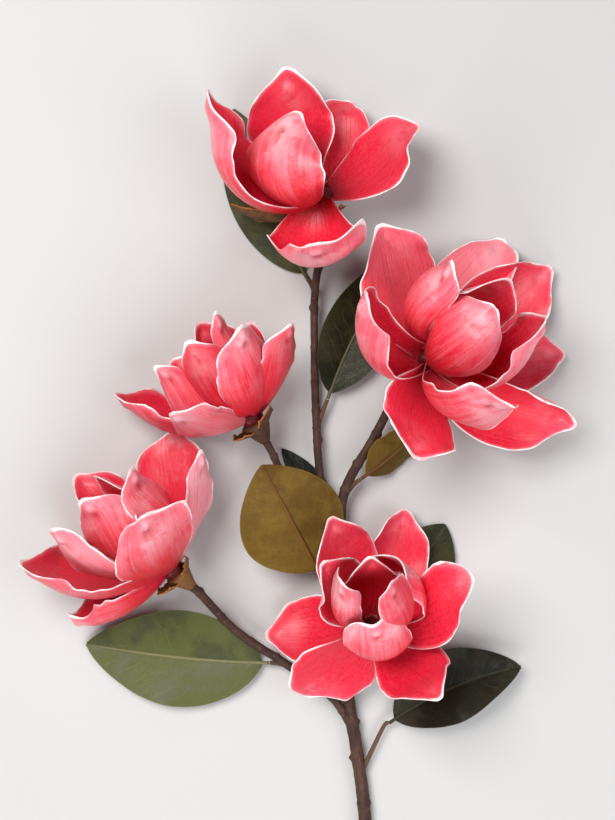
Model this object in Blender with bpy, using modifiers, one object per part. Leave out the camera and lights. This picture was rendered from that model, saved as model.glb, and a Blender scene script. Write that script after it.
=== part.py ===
"""A cut magnolia branch: five open blooms and eight leaves on one woody stem, lying on a flat surface.

The stem runs along +Y, +X is to its right and +Z is up from the surface, which is z = 0.
Every bloom hangs from its twig and rests its lowest petal on the surface, so its height follows from its
petals.
"""

import math

import bmesh
import bpy
import numpy as np
from mathutils import Vector

MM = 0.001

# Where the middle of the footprint lies in the drawing that every X and Y below is read from
FOOTPRINT_MIDDLE = Vector((-5.9, -72.3, 0.0))

# Blades and gaps, in millimetres as are all lengths below
PETAL_THICKNESS = 1.8
LEAF_THICKNESS = 1.1
BRACT_THICKNESS = 1.4
GAP = 0.35

# How finely the blades are divided: squares across and along
PETAL_SQUARES = {"inner": (4, 5), "middle": (4, 4), "outer": (4, 4)}
LEAF_SQUARES = (4, 5)
BRACT_SQUARES = (2, 3)
RIB_SPANS = 5
LINE_STEPS = 40
LINE_REACH = 1.08

# Where along a petal is widest, as a share of its length
WIDEST = 0.55

# Turned pieces on a bloom's axis, as (height, radius): the receptacle that carries the petals, the calyx
# below it and the cone above it
RECEPTACLE = ((-1.0, 8.0), (3.0, 8.6), (9.0, 6.5))
CALYX = ((-18.0, 3.7), (-13.0, 5.2), (-7.5, 7.0), (-3.2, 8.0), (-1.0 - GAP, 6.5))
CONE = ((9.0 + GAP, 5.0), (16.0, 5.4), (24.0, 4.0), (30.0, 1.4))
TWIG_END = -18.0 - GAP
TWIG_STRAIGHT = 8.0

# Stamens round the cone's foot: how many, their length, how far they lean out, and their radius
STAMENS = 6
STAMEN_LENGTH = 10.0
STAMEN_LEAN = 20.0
STAMEN_RADIUS = 0.7

# A leaf's midrib: its radius at the base and tip, and how far its stalk stands out of the blade
RIB_RADII = (1.5, 0.8)
STALK = 5.0

# The woody stem: each run is its name, points as (x, y, z, radius), the number of sides
STEM_RUNS = (
    (
        "main",
        (
            (44.0, -384.0, 4.5, 4.8),
            (41.0, -292.0, 5.6, 4.6),
            (35.0, -243.0, 6.4, 4.5),
            (32.0, -224.0, 7.0, 4.6),
            (27.5, -190.0, 8.4, 4.1),
            (24.5, -140.0, 10.0, 3.9),
            (23.5, -90.0, 12.0, 3.7),
            (27.0, -56.0, 14.0, 3.5),
            (48.0, -18.0, 17.0, 3.2),
            (61.0, 8.0, 20.0, 3.1),
        ),
        8,
    ),
    (
        "to_top",
        (
            (24.0, -112.0, 11.0, 2.6),
            (13.0, -72.0, 10.0, 2.8),
            (8.0, -37.0, 10.0, 2.9),
            (6.0, 0.0, 10.0, 2.9),
            (5.0, 40.0, 10.5, 2.8),
            (6.0, 92.0, 13.0, 2.8),
        ),
        6,
    ),
    ("to_far_left", ((24.0, -128.0, 10.5, 2.5), (4.0, -88.0, 9.5, 2.6), (-16.0, -50.0, 12.0, 2.6)), 6),
    (
        "to_left",
        (
            (32.0, -226.0, 7.0, 2.8),
            (16.0, -204.0, 7.0, 3.0),
            (-16.0, -181.0, 9.0, 3.0),
            (-50.0, -158.0, 12.0, 3.0),
        ),
        6,
    ),
    ("to_front", ((27.5, -192.0, 8.4, 2.4), (36.0, -178.0, 13.0, 2.8)), 6),
)

# The bloom that each run of the stem ends at
STEM_ENDS = {
    "main": "right",
    "to_top": "top",
    "to_far_left": "far_left",
    "to_left": "left",
    "to_front": "front",
}

# Leaf stalks: where each leaves the stem, for the leaf of that name
PETIOLES = {
    "behind_top": (5.5, 84.0, 12.5),
    "behind_right": (5.6, -14.0, 9.2),
    "ochre_broad": (24.4, -138.0, 10.0),
    "dark_edge": (24.0, -96.0, 11.8),
    "ochre_small": (26.5, -60.0, 13.8),
    "green_large": (-15.0, -181.5, 8.9),
    "dark_right": (37.5, -262.0, 6.1),
    "dark_small": (24.6, -146.0, 9.8),
}
PETIOLE_RADIUS = 1.6

# Colours, as linear red, green and blue, and roughness
COLOURS = {
    "petal": ((0.75, 0.045, 0.075), 0.5),
    "cone": ((0.10, 0.012, 0.012), 0.6),
    "calyx": ((0.17, 0.075, 0.018), 0.7),
    "bark": ((0.055, 0.018, 0.012), 0.75),
    "leaf": ((0.045, 0.07, 0.022), 0.45),
    "ochre_leaf": ((0.16, 0.095, 0.012), 0.6),
}

# How far out of a bloom's axis, and how far up it, the petals of a whorl start
ROOTS = {"inner": (4.0, 7.0), "middle": (4.5, 4.0), "outer": (5.0, 1.5), "bract": (4.0, -9.0)}

# A petal's measures, in the order of its row after its whorl: azimuth, its lean from the axis at its root and
# at its tip, length, width, half of the arc across, claw's share of the width, outward flick of the tip, how
# soon the bowl turns up, roll and twist about its midline, sideways sway, height and phase of the waves of
# its edge
PETAL_COLUMNS = (
    "azimuth",
    "lean",
    "end",
    "length",
    "width",
    "cup",
    "claw",
    "flick",
    "bowl",
    "roll",
    "twist",
    "sway",
    "ruffle",
    "phase",
)
PETAL_DEFAULTS = {"point": 0.09, "flare": 0.10, "waves": 1.3}
BRACT_DEFAULTS = {**PETAL_DEFAULTS, "cup": 45.0, "claw": 0.75, "flick": -10.0, "bowl": 1.0}

# Each bloom: base in X, Y and Z, heading of its axis in the plan, rise of the axis above the surface, size of
# its petals, its petals, how wide its calyx is, how big its cone is and its bracts. A petal's row may end in
# measures of its own. A bract is its azimuth, lean, end, length, width and roll. Azimuth 0 faces up, 90 lies
# right of the heading, 180 faces down.
BLOOMS = {
    "top": {
        "base": (11.0, 146.0, 31.2),
        "heading": 100.0,
        "rise": 20.0,
        "size": 1.0,
        "petals": (
            ("inner", 309, 127, -70, 102.8, 88.8, 55, 0.22, 0, 1.3, -7, 16, -0.4, 1.0, 0.31),
            ("inner", 222, 56, -10, 36.0, 24.0, 68, 0.38, 14, 2.4, 0, 0, 0.0, 0.6, 0.22),
            ("inner", 262, 52, -10, 44.0, 30.0, 68, 0.38, 14, 2.4, 0, 0, 0.0, 0.6, 0.42),
            ("middle", 201, 70, -13, 91.8, 69.4, 36, 0.31, 12, 1.9, -55, 18, -2.1, 1.2, 0.96,
             {"root": (6.5, 4.0)}),
            ("middle", 92, 89, 31, 75.4, 68.3, 26, 0.33, 49, 1.3, 22, 3, -0.5, 1.8, 0.00),
            ("outer", 271, 100, -50, 121.0, 88.0, 76, 0.29, 43, 0.8, -32, 24, 4.0, 1.1, 0.75),
            ("outer", 335, 178, -4, 103.3, 88.1, 73, 0.38, 52, 0.8, -3, 9, 26.0, 5.0, 0.50,
             {"root": (7.0, 4.5)}),
            ("outer", 147, 69, 18, 77.3, 48.9, 51, 0.30, 61, 1.6, 29, -4, 1.1, 1.3, 0.66),
            ("outer", 228, 62, -14, 44.0, 44.0, 46, 0.30, 26, 1.4, 0, 0, 0.0, 1.2, 0.25),
        ),
        "cup": 0.5,
        "heart": 0.45,
        "bracts": ((270, 98, 54, 60.0, 15.0, 40), (90, 85, 70, 11.0, 12.0, -20)),
    },
    "right": {
        "base": (81.0, 34.0, 44.8),
        "heading": 40.0,
        "rise": 52.0,
        "size": 1.0,
        "petals": (
            ("inner", 360, 50, -34, 77.2, 73.8, 88, 0.37, 3, 1.7, -23, 21, 1.5, 1.2, 0.19,
             {"root": (5.0, 7.0)}),
            ("inner", 284, 90, -13, 86.8, 44.0, 83, 0.45, 30, 2.1, 62, -19, -6.7, 1.2, 0.88,
             {"root": (6.5, 6.0)}),
            ("inner", 201, 79, -13, 87.3, 58.1, 58, 0.38, 3, 2.4, 9, 8, -0.6, 1.2, 0.99),
            ("middle", 327, 110, 20, 117.6, 69.8, 98, 0.46, -8, 1.6, -20, 19, -7.8, -0.9, 0.10),
            ("middle", 42, 109, -3, 112.7, 55.9, 48, 0.36, 31, 1.8, -26, 14, 6.9, 3.5, 0.71,
             {"root": (6.5, 5.0)}),
            ("middle", 119, 103, -30, 109.6, 59.6, 85, 0.34, 9, 1.5, 22, -28, 5.0, 1.6, 0.59),
            ("outer", 260, 85, 59, 87.1, 73.4, 26, 0.30, 23, 1.4, 1, -7, -5.9, 1.1, 0.61),
            ("outer", 200, 84, 62, 105.4, 60.2, 61, 0.30, 35, 1.4, -16, -10, -8.6, 1.1, 0.97),
            ("outer", 177, 90, 52, 107.7, 67.7, 48, 0.30, 12, 1.3, 17, 3, -2.8, 1.1, 0.81),
            ("outer", 145, 103, 58, 99.8, 63.2, 35, 0.30, 15, 1.2, 0, -7, 1.1, 1.1, 0.47),
            ("outer", 110, 104, 35, 104.2, 67.2, 81, 0.26, 42, 0.9, 45, 31, 5.8, 1.7, 0.23),
            ("outer", 34, 115, 73, 67.8, 72.8, 24, 0.28, 12, 1.5, -37, 34, 1.4, 1.0, 0.33,
             {"root": (7.0, 3.0)}),
        ),
        "cup": 0.6,
        "heart": 0.52,
        "bracts": ((70, 104, 92, 16.0, 14.0, 0), (300, 104, 92, 18.0, 14.0, 0)),
    },
    "far_left": {
        "base": (-38.0, -7.0, 33.4),
        "heading": 120.0,
        "rise": 18.0,
        "size": 0.88,
        "petals": (
            ("inner", 340, 84, -8, 87.2, 61.3, 69, 0.38, 6, 2.4, -10, 10, -0.9, 1.3, 0.42),
            ("inner", 188, 64, -8, 79.1, 64.1, 73, 0.38, 11, 2.3, 13, 10, -4.0, 1.2, 0.91,
             {"root": (5.5, 6.0)}),
            ("inner", 112, 90, 6, 69.1, 58.0, 64, 0.38, 13, 2.4, 16, 12, -0.7, 1.2, 0.08),
            ("middle", 28, 60, 0, 85.3, 66.2, 70, 0.10, 26, 1.2, 4, 1, 4.2, 1.1, 0.36, {"root": (7.5, 4.5)}),
            ("middle", 298, 97, -12, 93.7, 36.6, 81, 0.34, 38, 1.9, 42, 15, -1.2, 1.2, 0.00),
            ("middle", 25, 56, -15, 93.8, 31.0, 89, 0.34, 36, 1.7, 4, -3, 5.5, 1.4, 0.62),
            ("outer", 67, 67, 26, 81.1, 49.2, 51, 0.30, 20, 1.1, -19, -14, -0.2, 1.3, 0.69),
            ("outer", 254, 97, 10, 109.4, 80.6, 75, 0.30, 8, 1.0, 8, 1, -4.4, 1.0, 0.83),
            ("outer", 301, 78, 22, 78.6, 58.7, 45, 0.12, 8, 0.9, 27, -5, 21.3, 0.5, 0.41),
            ("outer", 216, 77, 13, 79.3, 72.0, 46, 0.30, 28, 1.5, -4, -3, -1.5, 1.2, 0.29),
            ("outer", 165, 80, 0, 38.0, 40.0, 46, 0.30, 26, 1.4, 0, 0, 0.0, 1.2, 0.55),
        ),
        "cup": 1.6,
        "heart": 0.75,
        "bracts": ((48, 56, 40, 24.0, 20.0, 0), (290, 78, 70, 18.0, 20.0, 0)),
    },
    "left": {
        "base": (-93.0, -112.0, 32.8),
        "heading": 135.0,
        "rise": 22.0,
        "size": 1.0,
        "petals": (
            ("inner", 310, 62, -22, 83.6, 57.6, 42, 0.24, 30, 2.5, -25, 51, 8.6, 1.5, 0.46,
             {"root": (5.5, 6.5)}),
            ("inner", 61, 75, -1, 83.9, 43.0, 58, 0.38, 36, 2.3, -10, -14, -3.2, 1.3, 0.56),
            ("inner", 187, 66, 9, 86.0, 54.7, 65, 0.38, 18, 2.4, 13, 10, -1.7, 1.2, 0.88),
            ("middle", 358, 59, 33, 93.0, 64.2, 30, 0.31, 7, 1.2, -6, -13, 28.5, 1.4, 0.08,
             {"root": (7.5, 4.5)}),
            ("middle", 296, 62, -29, 100.2, 43.7, 29, 0.34, 29, 1.0, 2, 10, 1.3, 1.6, 0.00, {"point": 0.0}),
            ("middle", 124, 74, -32, 88.3, 35.9, 45, 0.34, 18, 1.7, -6, 5, 3.1, 1.2, 0.38),
            ("outer", 88, 82, 18, 83.7, 89.0, 78, 0.14, -2, 0.6, -29, 12, -3.2, 1.4, 0.64),
            ("outer", 127, 68, 41, 90.3, 73.7, 37, 0.26, 20, 1.2, -12, 39, -0.1, 1.2, 0.12),
            ("outer", 267, 80, -3, 103.4, 97.7, 55, 0.30, 6, 0.9, 17, -16, -5.6, 0.8, 0.77),
            ("outer", 269, 101, 29, 77.8, 74.3, 77, 0.27, -28, 0.6, 8, 12, -5.8, 1.2, 0.99),
            ("outer", 232, 80, 0, 40.0, 40.0, 46, 0.30, 26, 1.4, 0, 0, 0.0, 1.2, 0.19),
            ("outer", 170, 80, 0, 42.0, 40.0, 46, 0.30, 26, 1.4, 0, 0, 0.0, 1.2, 0.60),
        ),
        "cup": 1.4,
        "heart": 0.65,
        "bracts": ((60, 52, 34, 16.0, 16.0, 0), (290, 72, 62, 17.0, 18.0, 0)),
    },
    "front": {
        "base": (43.5, -150.0, 42.0),
        "heading": 90.0,
        "rise": 72.0,
        "size": 0.74,
        "petals": (
            ("inner", 178, 79, -1, 92.9, 63.4, 37, 0.38, 30, 2.4, 10, 3, 5.1, 1.2, 0.86),
            ("inner", 69, 64, -28, 119.9, 47.8, 56, 0.38, 14, 2.5, -29, 10, 20.1, 1.2, 0.06,
             {"root": (7.0, 6.0)}),
            ("inner", 282, 49, -9, 109.5, 49.1, 81, 0.41, 5, 2.6, 44, -17, -24.8, 1.0, 0.72,
             {"root": (8.4, 6.0)}),
            ("middle", 12, 101, -49, 107.3, 77.1, 69, 0.34, 5, 1.9, -16, 17, -3.0, 1.1, 0.00,
             {"point": -0.06}),
            ("middle", 131, 108, -42, 126.0, 82.0, 74, 0.34, 38, 1.4, 10, -11, 16.0, 2.0, 0.52),
            ("middle", 229, 87, 13, 88.0, 65.1, 38, 0.34, 27, 2.0, 4, 4, -3.5, 1.2, 0.40),
            ("outer", 43, 128, 15, 101.6, 71.4, 24, 0.25, 38, 1.6, -8, -4, -6.4, 1.2, 0.43,
             {"root": (7.0, 3.0)}),
            ("outer", 92, 87, 11, 125.2, 66.4, 34, 0.30, 57, 1.9, 10, 19, 25.2, 1.1, 0.10, {"point": 0.02}),
            ("outer", 163, 147, 45, 112.4, 80.6, 63, 0.30, 42, 1.2, 18, 6, -1.5, 1.3, 0.74,
             {"root": (7.5, 3.5)}),
            ("outer", 202, 104, 33, 103.9, 67.8, 32, 0.30, 10, 1.4, 14, 2, 0.4, 1.3, 0.08),
            ("outer", 271, 145, 79, 96.8, 79.3, 59, 0.27, -3, 0.7, 8, 5, 0.6, 1.1, 0.93,
             {"root": (7.5, 3.5)}),
            ("outer", 317, 122, 116, 81.2, 95.2, 24, 0.28, 24, 1.4, -53, 7, -3.4, 1.3, 0.32,
             {"root": (8.0, 3.5)}),
        ),
        "cup": 0.45,
        "heart": 0.66,
        "bracts": ((60, 104, 92, 10.0, 13.0, 0), (250, 104, 92, 10.0, 13.0, 0)),
    },
}

# Each leaf: where its blade starts, heading and rise there, length, width, how far its tip sags and turns,
# how it rolls about its midrib, how far its halves fold up, and the height of its waves
LEAVES = {
    "behind_top": ((-3.0, 99.0, 2.4), 122, -1, 128.0, 50.0, -1, -18, -1, 3, 0.8),
    "behind_right": ((16.0, 12.5, 10.0), 70, 1, 108.0, 50.0, 3, -16, 8, 12, 2.0),
    "ochre_broad": ((7.0, -113.0, 19.0), 116, 24, 86.0, 76.0, 44, 4, 8, -6, 2.5),
    "dark_edge": ((20.5, -76.0, 4.2), 128, -1, 62.0, 20.0, 0, 2, 8, 6, 0.8),
    "ochre_small": ((42.0, -46.0, 16.0), 36, 4, 56.0, 34.0, 6, 10, 38, -12, 1.5),
    "green_large": ((-32.5, -181.0, 5.8), 179, -2, 127.0, 69.0, -2, -10, 0, 7, 1.8),
    "dark_right": ((62.5, -221.0, 8.0), 36, 5, 98.0, 52.0, 4, -26, -22, 12, 3.0),
    "dark_small": ((66.0, -136.0, 3.4), 58, 0, 63.0, 48.0, 0, 2, 3, 5, 1.0),
}


def smooth_step(x):
    """0 below 0, 1 above 1, and a smooth rise between."""
    x = min(max(x, 0.0), 1.0)
    return x * x * (3.0 - 2.0 * x)


def petal_half_width(claw, along):
    """Half of the width up to the widest place, as a share of the widest half: a claw that opens out."""
    return claw + (1.0 - claw) * math.sin(0.5 * math.pi * min(along / WIDEST, 1.0))


def petal_point(petal, across, along):
    """(sideways, outwards, upwards) of a point on the middle sheet, across -1 to 1 and along 0 to 1."""
    past = max(along - WIDEST, 0.0) / (1.0 - WIDEST)
    reach = min(along, WIDEST) + (1.0 - WIDEST) * past * math.sqrt(1.0 - 0.5 * across**2)
    reach += petal["point"] * math.exp(-((across / 0.34) ** 2)) * smooth_step((past - 0.2) / 0.8)
    line = petal["line"]
    place = min(max(reach, 0.0), LINE_REACH) / LINE_REACH * LINE_STEPS
    i = min(int(place), LINE_STEPS - 1)
    f = place - i
    out, up, lean = (a + (b - a) * f for a, b in zip(line[i], line[i + 1]))
    half = 0.5 * petal["width"] * petal_half_width(petal["claw"], along) * math.sqrt(1.0 - 0.5 * past**2)
    arc = math.radians(petal["cup"]) * (1.0 - 0.15 * along**2)
    radius = half / arc
    side = radius * math.sin(arc * across)
    inwards = radius * (1.0 - math.cos(arc * across))
    inwards -= petal["flare"] * half * across**4 * smooth_step(along / 0.5)
    hand = 0.0 if across < 0.0 else 0.41
    wave = math.sin(2.0 * math.pi * (petal["waves"] * along + petal["phase"] + hand))
    inwards += petal["ruffle"] * wave * abs(across) ** 3 * smooth_step((along - 0.15) / 0.5)
    turn = math.radians(petal["roll"] + petal["twist"] * along)
    side, inwards = (
        side * math.cos(turn) - inwards * math.sin(turn),
        side * math.sin(turn) + inwards * math.cos(turn),
    )
    side += petal["sway"] * along**2
    out -= inwards * math.cos(lean)
    up += inwards * math.sin(lean)
    return side, out, up


def petal_line(petal):
    """The petal's centre line as (outwards, upwards, lean) from root to a little past its tip."""
    out, up = petal["root"]
    step = petal["length"] * LINE_REACH / LINE_STEPS
    line = []
    for i in range(LINE_STEPS + 1):
        t = LINE_REACH * i / LINE_STEPS
        bowl = max(1.0 - t, 0.0) ** petal["bowl"]
        lean = petal["lean"] * bowl + petal["end"] * (1.0 - bowl)
        lean += petal["flick"] * smooth_step((t - 0.76) / 0.26)
        lean = math.radians(lean)
        line.append((out, up, lean))
        out += step * math.sin(lean)
        up += step * math.cos(lean)
    return line


def petal_facts(bloom, row):
    """The measures of one petal, in millimetres and degrees, from its row in the table."""
    facts = dict(PETAL_DEFAULTS)
    facts["root"] = ROOTS[row[0]]
    facts.update(zip(PETAL_COLUMNS, row[1:]))
    if len(row) > len(PETAL_COLUMNS) + 1:
        facts.update(row[-1])
    for name in ("length", "width", "ruffle", "sway"):
        facts[name] *= bloom["size"]
    facts["line"] = petal_line(facts)
    return facts


def bract_facts(row):
    """The measures of one bract, in millimetres and degrees, from its row in the table."""
    azimuth, lean, end, length, width, roll = row
    facts = dict(BRACT_DEFAULTS)
    facts["root"] = ROOTS["bract"]
    facts.update({"azimuth": azimuth, "lean": lean, "end": end})
    facts.update({"length": length, "width": width, "roll": roll})
    facts.update({"twist": 0.0, "sway": 0.0, "ruffle": 1.2, "phase": azimuth / 97.0})
    facts["line"] = petal_line(facts)
    return facts


def bloom_axes(bloom):
    """The bloom's axis, the upward direction square to it, and the direction to the right of its heading."""
    heading, rise = math.radians(bloom["heading"]), math.radians(bloom["rise"])
    axis = Vector((math.cos(heading) * math.cos(rise), math.sin(heading) * math.cos(rise), math.sin(rise)))
    upward = (Vector((0.0, 0.0, 1.0)) - axis * axis.z).normalized()
    return axis, upward, axis.cross(upward)


def in_metres(point):
    """A point of the drawing, in millimetres, as a place in the scene."""
    return (Vector(point) - FOOTPRINT_MIDDLE) * MM


def petal_placer(bloom, facts):
    """A function from (across, along) on the petal to its place on the branch."""
    axis, upward, right = bloom_axes(bloom)
    azimuth = math.radians(facts["azimuth"])
    radial = upward * math.cos(azimuth) + right * math.sin(azimuth)
    tangent = right * math.cos(azimuth) - upward * math.sin(azimuth)
    base = Vector(bloom["base"])

    def place(across, along):
        side, out, up = petal_point(facts, across, along)
        return in_metres(base + tangent * side + radial * out + axis * up)

    return place


def leaf_line(leaf):
    """The leaf's midrib as (point, along, sideways, upwards) at LINE_STEPS + 1 stations."""
    start, heading, rise, length, _, sag, turn, roll, _, _ = leaf
    point = Vector(start)
    line = []
    for i in range(LINE_STEPS + 1):
        t = i / LINE_STEPS
        h = math.radians(heading + turn * t)
        r = math.radians(rise - sag * t)
        along = Vector((math.cos(h) * math.cos(r), math.sin(h) * math.cos(r), math.sin(r)))
        level = Vector((-math.sin(h), math.cos(h), 0.0))
        normal = along.cross(level)
        tilt = math.radians(roll)
        line.append(
            (
                point.copy(),
                along,
                level * math.cos(tilt) + normal * math.sin(tilt),
                normal * math.cos(tilt) - level * math.sin(tilt),
            )
        )
        point += along * length / LINE_STEPS
    return line


def leaf_placer(leaf):
    """A function from (across, along) on the leaf's blade to its place on the branch."""
    width, fold, wave_height = leaf[4], math.radians(leaf[8]), leaf[9]
    line = leaf_line(leaf)

    def place(across, along):
        point, _, sideways, upwards = line[round(along * LINE_STEPS)]
        share = max(math.sin(math.pi * along**0.88) ** 0.72, 0.07)
        half = 0.5 * width * share
        lift = abs(across) * half * math.sin(fold)
        hand = 0.0 if across < 0.0 else 0.35
        lift += wave_height * math.sin(2.0 * math.pi * (1.6 * along + hand)) * across**2 * share
        return in_metres(point + sideways * across * half * math.cos(fold) + upwards * lift)

    return place


def blade(name, squares, place, thickness):
    """A thin curved blade: a grid laid out by place(across, along), cut into triangles, then thickened."""
    mesh = bmesh.new()
    bmesh.ops.create_grid(mesh, x_segments=squares[0], y_segments=squares[1], size=1.0)
    for vertex in mesh.verts:
        vertex.co = place(vertex.co.x, 0.5 * (vertex.co.y + 1.0))
    bmesh.ops.triangulate(mesh, faces=mesh.faces[:], quad_method="SHORT_EDGE")
    bmesh.ops.recalc_face_normals(mesh, faces=mesh.faces[:])
    data = bpy.data.meshes.new(name)
    mesh.to_mesh(data)
    mesh.free()
    sheet = bpy.data.objects.new(name, data)
    thicken = sheet.modifiers.new("Thickness", "SOLIDIFY")
    thicken.thickness = thickness * MM
    thicken.offset = 0.0
    return sheet


def as_mesh(item):
    """The object as the viewport shows it, as a plain closed mesh object of its name; the old one goes."""
    scratch = bpy.context.scene.collection
    if item.name not in scratch.objects:
        scratch.objects.link(item)
    bpy.context.view_layer.update()
    depsgraph = bpy.context.evaluated_depsgraph_get()
    data = bpy.data.meshes.new_from_object(item.evaluated_get(depsgraph))
    name, matrix = item.name, item.matrix_world.copy()
    bpy.data.objects.remove(item)
    mesh = bmesh.new()
    mesh.from_mesh(data)
    bmesh.ops.remove_doubles(mesh, verts=mesh.verts[:], dist=0.001 * MM)
    bmesh.ops.recalc_face_normals(mesh, faces=mesh.faces[:])
    mesh.to_mesh(data)
    mesh.free()
    solid = bpy.data.objects.new(name, data)
    solid.matrix_world = matrix
    return solid


def tube(name, points, sides):
    """A round solid along (x, y, z, radius) points, as a curve with a bevel made into a mesh."""
    curve = bpy.data.curves.new(name, "CURVE")
    curve.dimensions = "3D"
    curve.bevel_depth = MM
    curve.bevel_resolution = (sides - 4) // 2
    curve.use_fill_caps = True
    spline = curve.splines.new("POLY")
    spline.points.add(len(points) - 1)
    for spot, (x, y, z, radius) in zip(spline.points, points):
        spot.co = (*in_metres((x, y, z)), 1.0)
        spot.radius = radius
    return as_mesh(bpy.data.objects.new(name, curve))


def smooth_run(points, steps):
    """The same run of (x, y, z, radius) points with a smooth curve through them, steps to each span."""
    points = np.array(points)
    ends = np.vstack([2.0 * points[0] - points[1], points, 2.0 * points[-1] - points[-2]])
    run = []
    for i in range(len(points) - 1):
        a, b, c, d = ends[i : i + 4]
        for k in range(steps):
            t = k / steps
            bend = 2 * a - 5 * b + 4 * c - d
            run.append(0.5 * (2 * b + (c - a) * t + bend * t**2 + (3 * b - a - 3 * c + d) * t**3))
    run.append(points[-1])
    return [tuple(float(x) for x in point) for point in run]


def fuse(name, solids):
    """One closed mesh object from overlapping solids, by a Boolean union with all but the first."""
    base = solids[0]
    rest = bpy.data.collections.new(name + "_parts")
    bpy.context.scene.collection.children.link(rest)
    bpy.context.scene.collection.objects.link(base)
    for solid in solids[1:]:
        rest.objects.link(solid)
    union = base.modifiers.new("Union", "BOOLEAN")
    union.operation = "UNION"
    union.operand_type = "COLLECTION"
    union.collection = rest
    union.solver = "EXACT"
    union.use_self = True
    base.name = name
    whole = as_mesh(base)
    for solid in list(rest.objects):
        bpy.data.objects.remove(solid)
    bpy.data.collections.remove(rest)
    return whole


def finish(piece, colour, parts):
    """Cuts the piece's faces into triangles, drops loose scraps, colours it and puts it among the parts."""
    mesh = bmesh.new()
    mesh.from_mesh(piece.data)
    bmesh.ops.triangulate(mesh, faces=mesh.faces[:])
    keep_largest(mesh)
    mesh.to_mesh(piece.data)
    mesh.free()
    tone, roughness = COLOURS[colour]
    material = bpy.data.materials.new(piece.name)
    material.use_nodes = True
    surface = material.node_tree.nodes["Principled BSDF"]
    surface.inputs["Base Color"].default_value = (*tone, 1.0)
    surface.inputs["Roughness"].default_value = roughness
    surface.inputs["Metallic"].default_value = 0.0
    piece.data.materials.clear()
    piece.data.materials.append(material)
    parts.objects.link(piece)
    return piece


def keep_largest(mesh):
    """Removes every loose body but the one with the most faces."""
    mesh.faces.ensure_lookup_table()
    seen = set()
    bodies = []
    for face in mesh.faces:
        if face in seen:
            continue
        body = [face]
        seen.add(face)
        for item in body:
            for edge in item.edges:
                for other in edge.link_faces:
                    if other not in seen:
                        seen.add(other)
                        body.append(other)
        bodies.append(body)
    bodies.sort(key=len)
    scraps = [face for body in bodies[:-1] for face in body]
    bmesh.ops.delete(mesh, geom=scraps, context="FACES")
    loose = [vertex for vertex in mesh.verts if not vertex.link_faces]
    bmesh.ops.delete(mesh, geom=loose, context="VERTS")


def on_axis(bloom, height, radius=0.0):
    """(x, y, z, radius) of a place on the bloom's axis, at a height above its base."""
    axis, _, _ = bloom_axes(bloom)
    return (*(Vector(bloom["base"]) + axis * height), radius)


def make_bloom(name, bloom):
    """The receptacle with all of the bloom's petals grown into it."""
    solids = [tube(name, [on_axis(bloom, *spot) for spot in RECEPTACLE], 8)]
    for i, row in enumerate(bloom["petals"]):
        place = petal_placer(bloom, petal_facts(bloom, row))
        solids.append(as_mesh(blade(f"{name}_petal_{i}", PETAL_SQUARES[row[0]], place, PETAL_THICKNESS)))
    return fuse(name, solids)


def make_calyx(name, bloom):
    """The cup below the receptacle with its bracts."""
    foot = CALYX[0][1]
    spots = [on_axis(bloom, height, foot + (radius - foot) * bloom["cup"]) for height, radius in CALYX]
    solids = [tube(name, spots, 8)]
    for i, row in enumerate(bloom["bracts"]):
        place = petal_placer(bloom, bract_facts(row))
        solids.append(as_mesh(blade(f"{name}_bract_{i}", BRACT_SQUARES, place, BRACT_THICKNESS)))
    return fuse(name, solids)


def make_cone(name, bloom):
    """The flower's cone with a ring of stamens that lean out round its foot."""
    axis, upward, right = bloom_axes(bloom)
    size = bloom["heart"]
    low = CONE[0][0]
    rings = [on_axis(bloom, low + (height - low) * size, radius * size) for height, radius in CONE]
    solids = [tube(name, rings, 8)]
    foot = Vector(on_axis(bloom, low + 1.0)[:3])
    lean = math.radians(STAMEN_LEAN)
    for i in range(STAMENS):
        turn = 2.0 * math.pi * i / STAMENS
        radial = upward * math.cos(turn) + right * math.sin(turn)
        start = foot + radial * (CONE[0][1] * size - 1.0)
        end = start + (axis * math.cos(lean) + radial * math.sin(lean)) * STAMEN_LENGTH * size
        points = [(*start, STAMEN_RADIUS), (*end, STAMEN_RADIUS)]
        solids.append(tube(f"{name}_stamen_{i}", points, 4))
    return fuse(name, solids)


def make_leaf(name, leaf):
    """A leaf's blade with its midrib, whose stalk stands out at the base."""
    line = leaf_line(leaf)
    start, along = line[0][0], line[0][1]
    points = [(*(start - along * STALK), RIB_RADII[0])]
    for k in range(RIB_SPANS):
        share = k / RIB_SPANS
        point = line[round(LINE_STEPS * share)][0]
        points.append((*point, RIB_RADII[0] * (1.0 - share) + RIB_RADII[1] * share))
    rib = tube(name, points, 4)
    return fuse(name, [rib, as_mesh(blade(name + "_blade", LEAF_SQUARES, leaf_placer(leaf), LEAF_THICKNESS))])


def make_stem():
    """The woody stem with its branches and the leaves' stalks, all grown together."""
    solids = []
    for name, points, sides in STEM_RUNS:
        bloom = BLOOMS[STEM_ENDS[name]]
        radius = points[-1][3]
        run = smooth_run((*points, on_axis(bloom, TWIG_END - TWIG_STRAIGHT, radius)), 2)
        solids.append(tube("stem_" + name, [*run, on_axis(bloom, TWIG_END, radius)], sides))
    for name, start in PETIOLES.items():
        leaf = LEAVES[name]
        _, along, _, _ = leaf_line(leaf)[0]
        end = Vector(leaf[0]) - along * (STALK + GAP)
        before = end - along * 5.0
        points = [(*start, PETIOLE_RADIUS), (*before, PETIOLE_RADIUS), (*end, PETIOLE_RADIUS)]
        solids.append(tube("stem_to_" + name, points, 6))
    return fuse("stem", solids)


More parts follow.
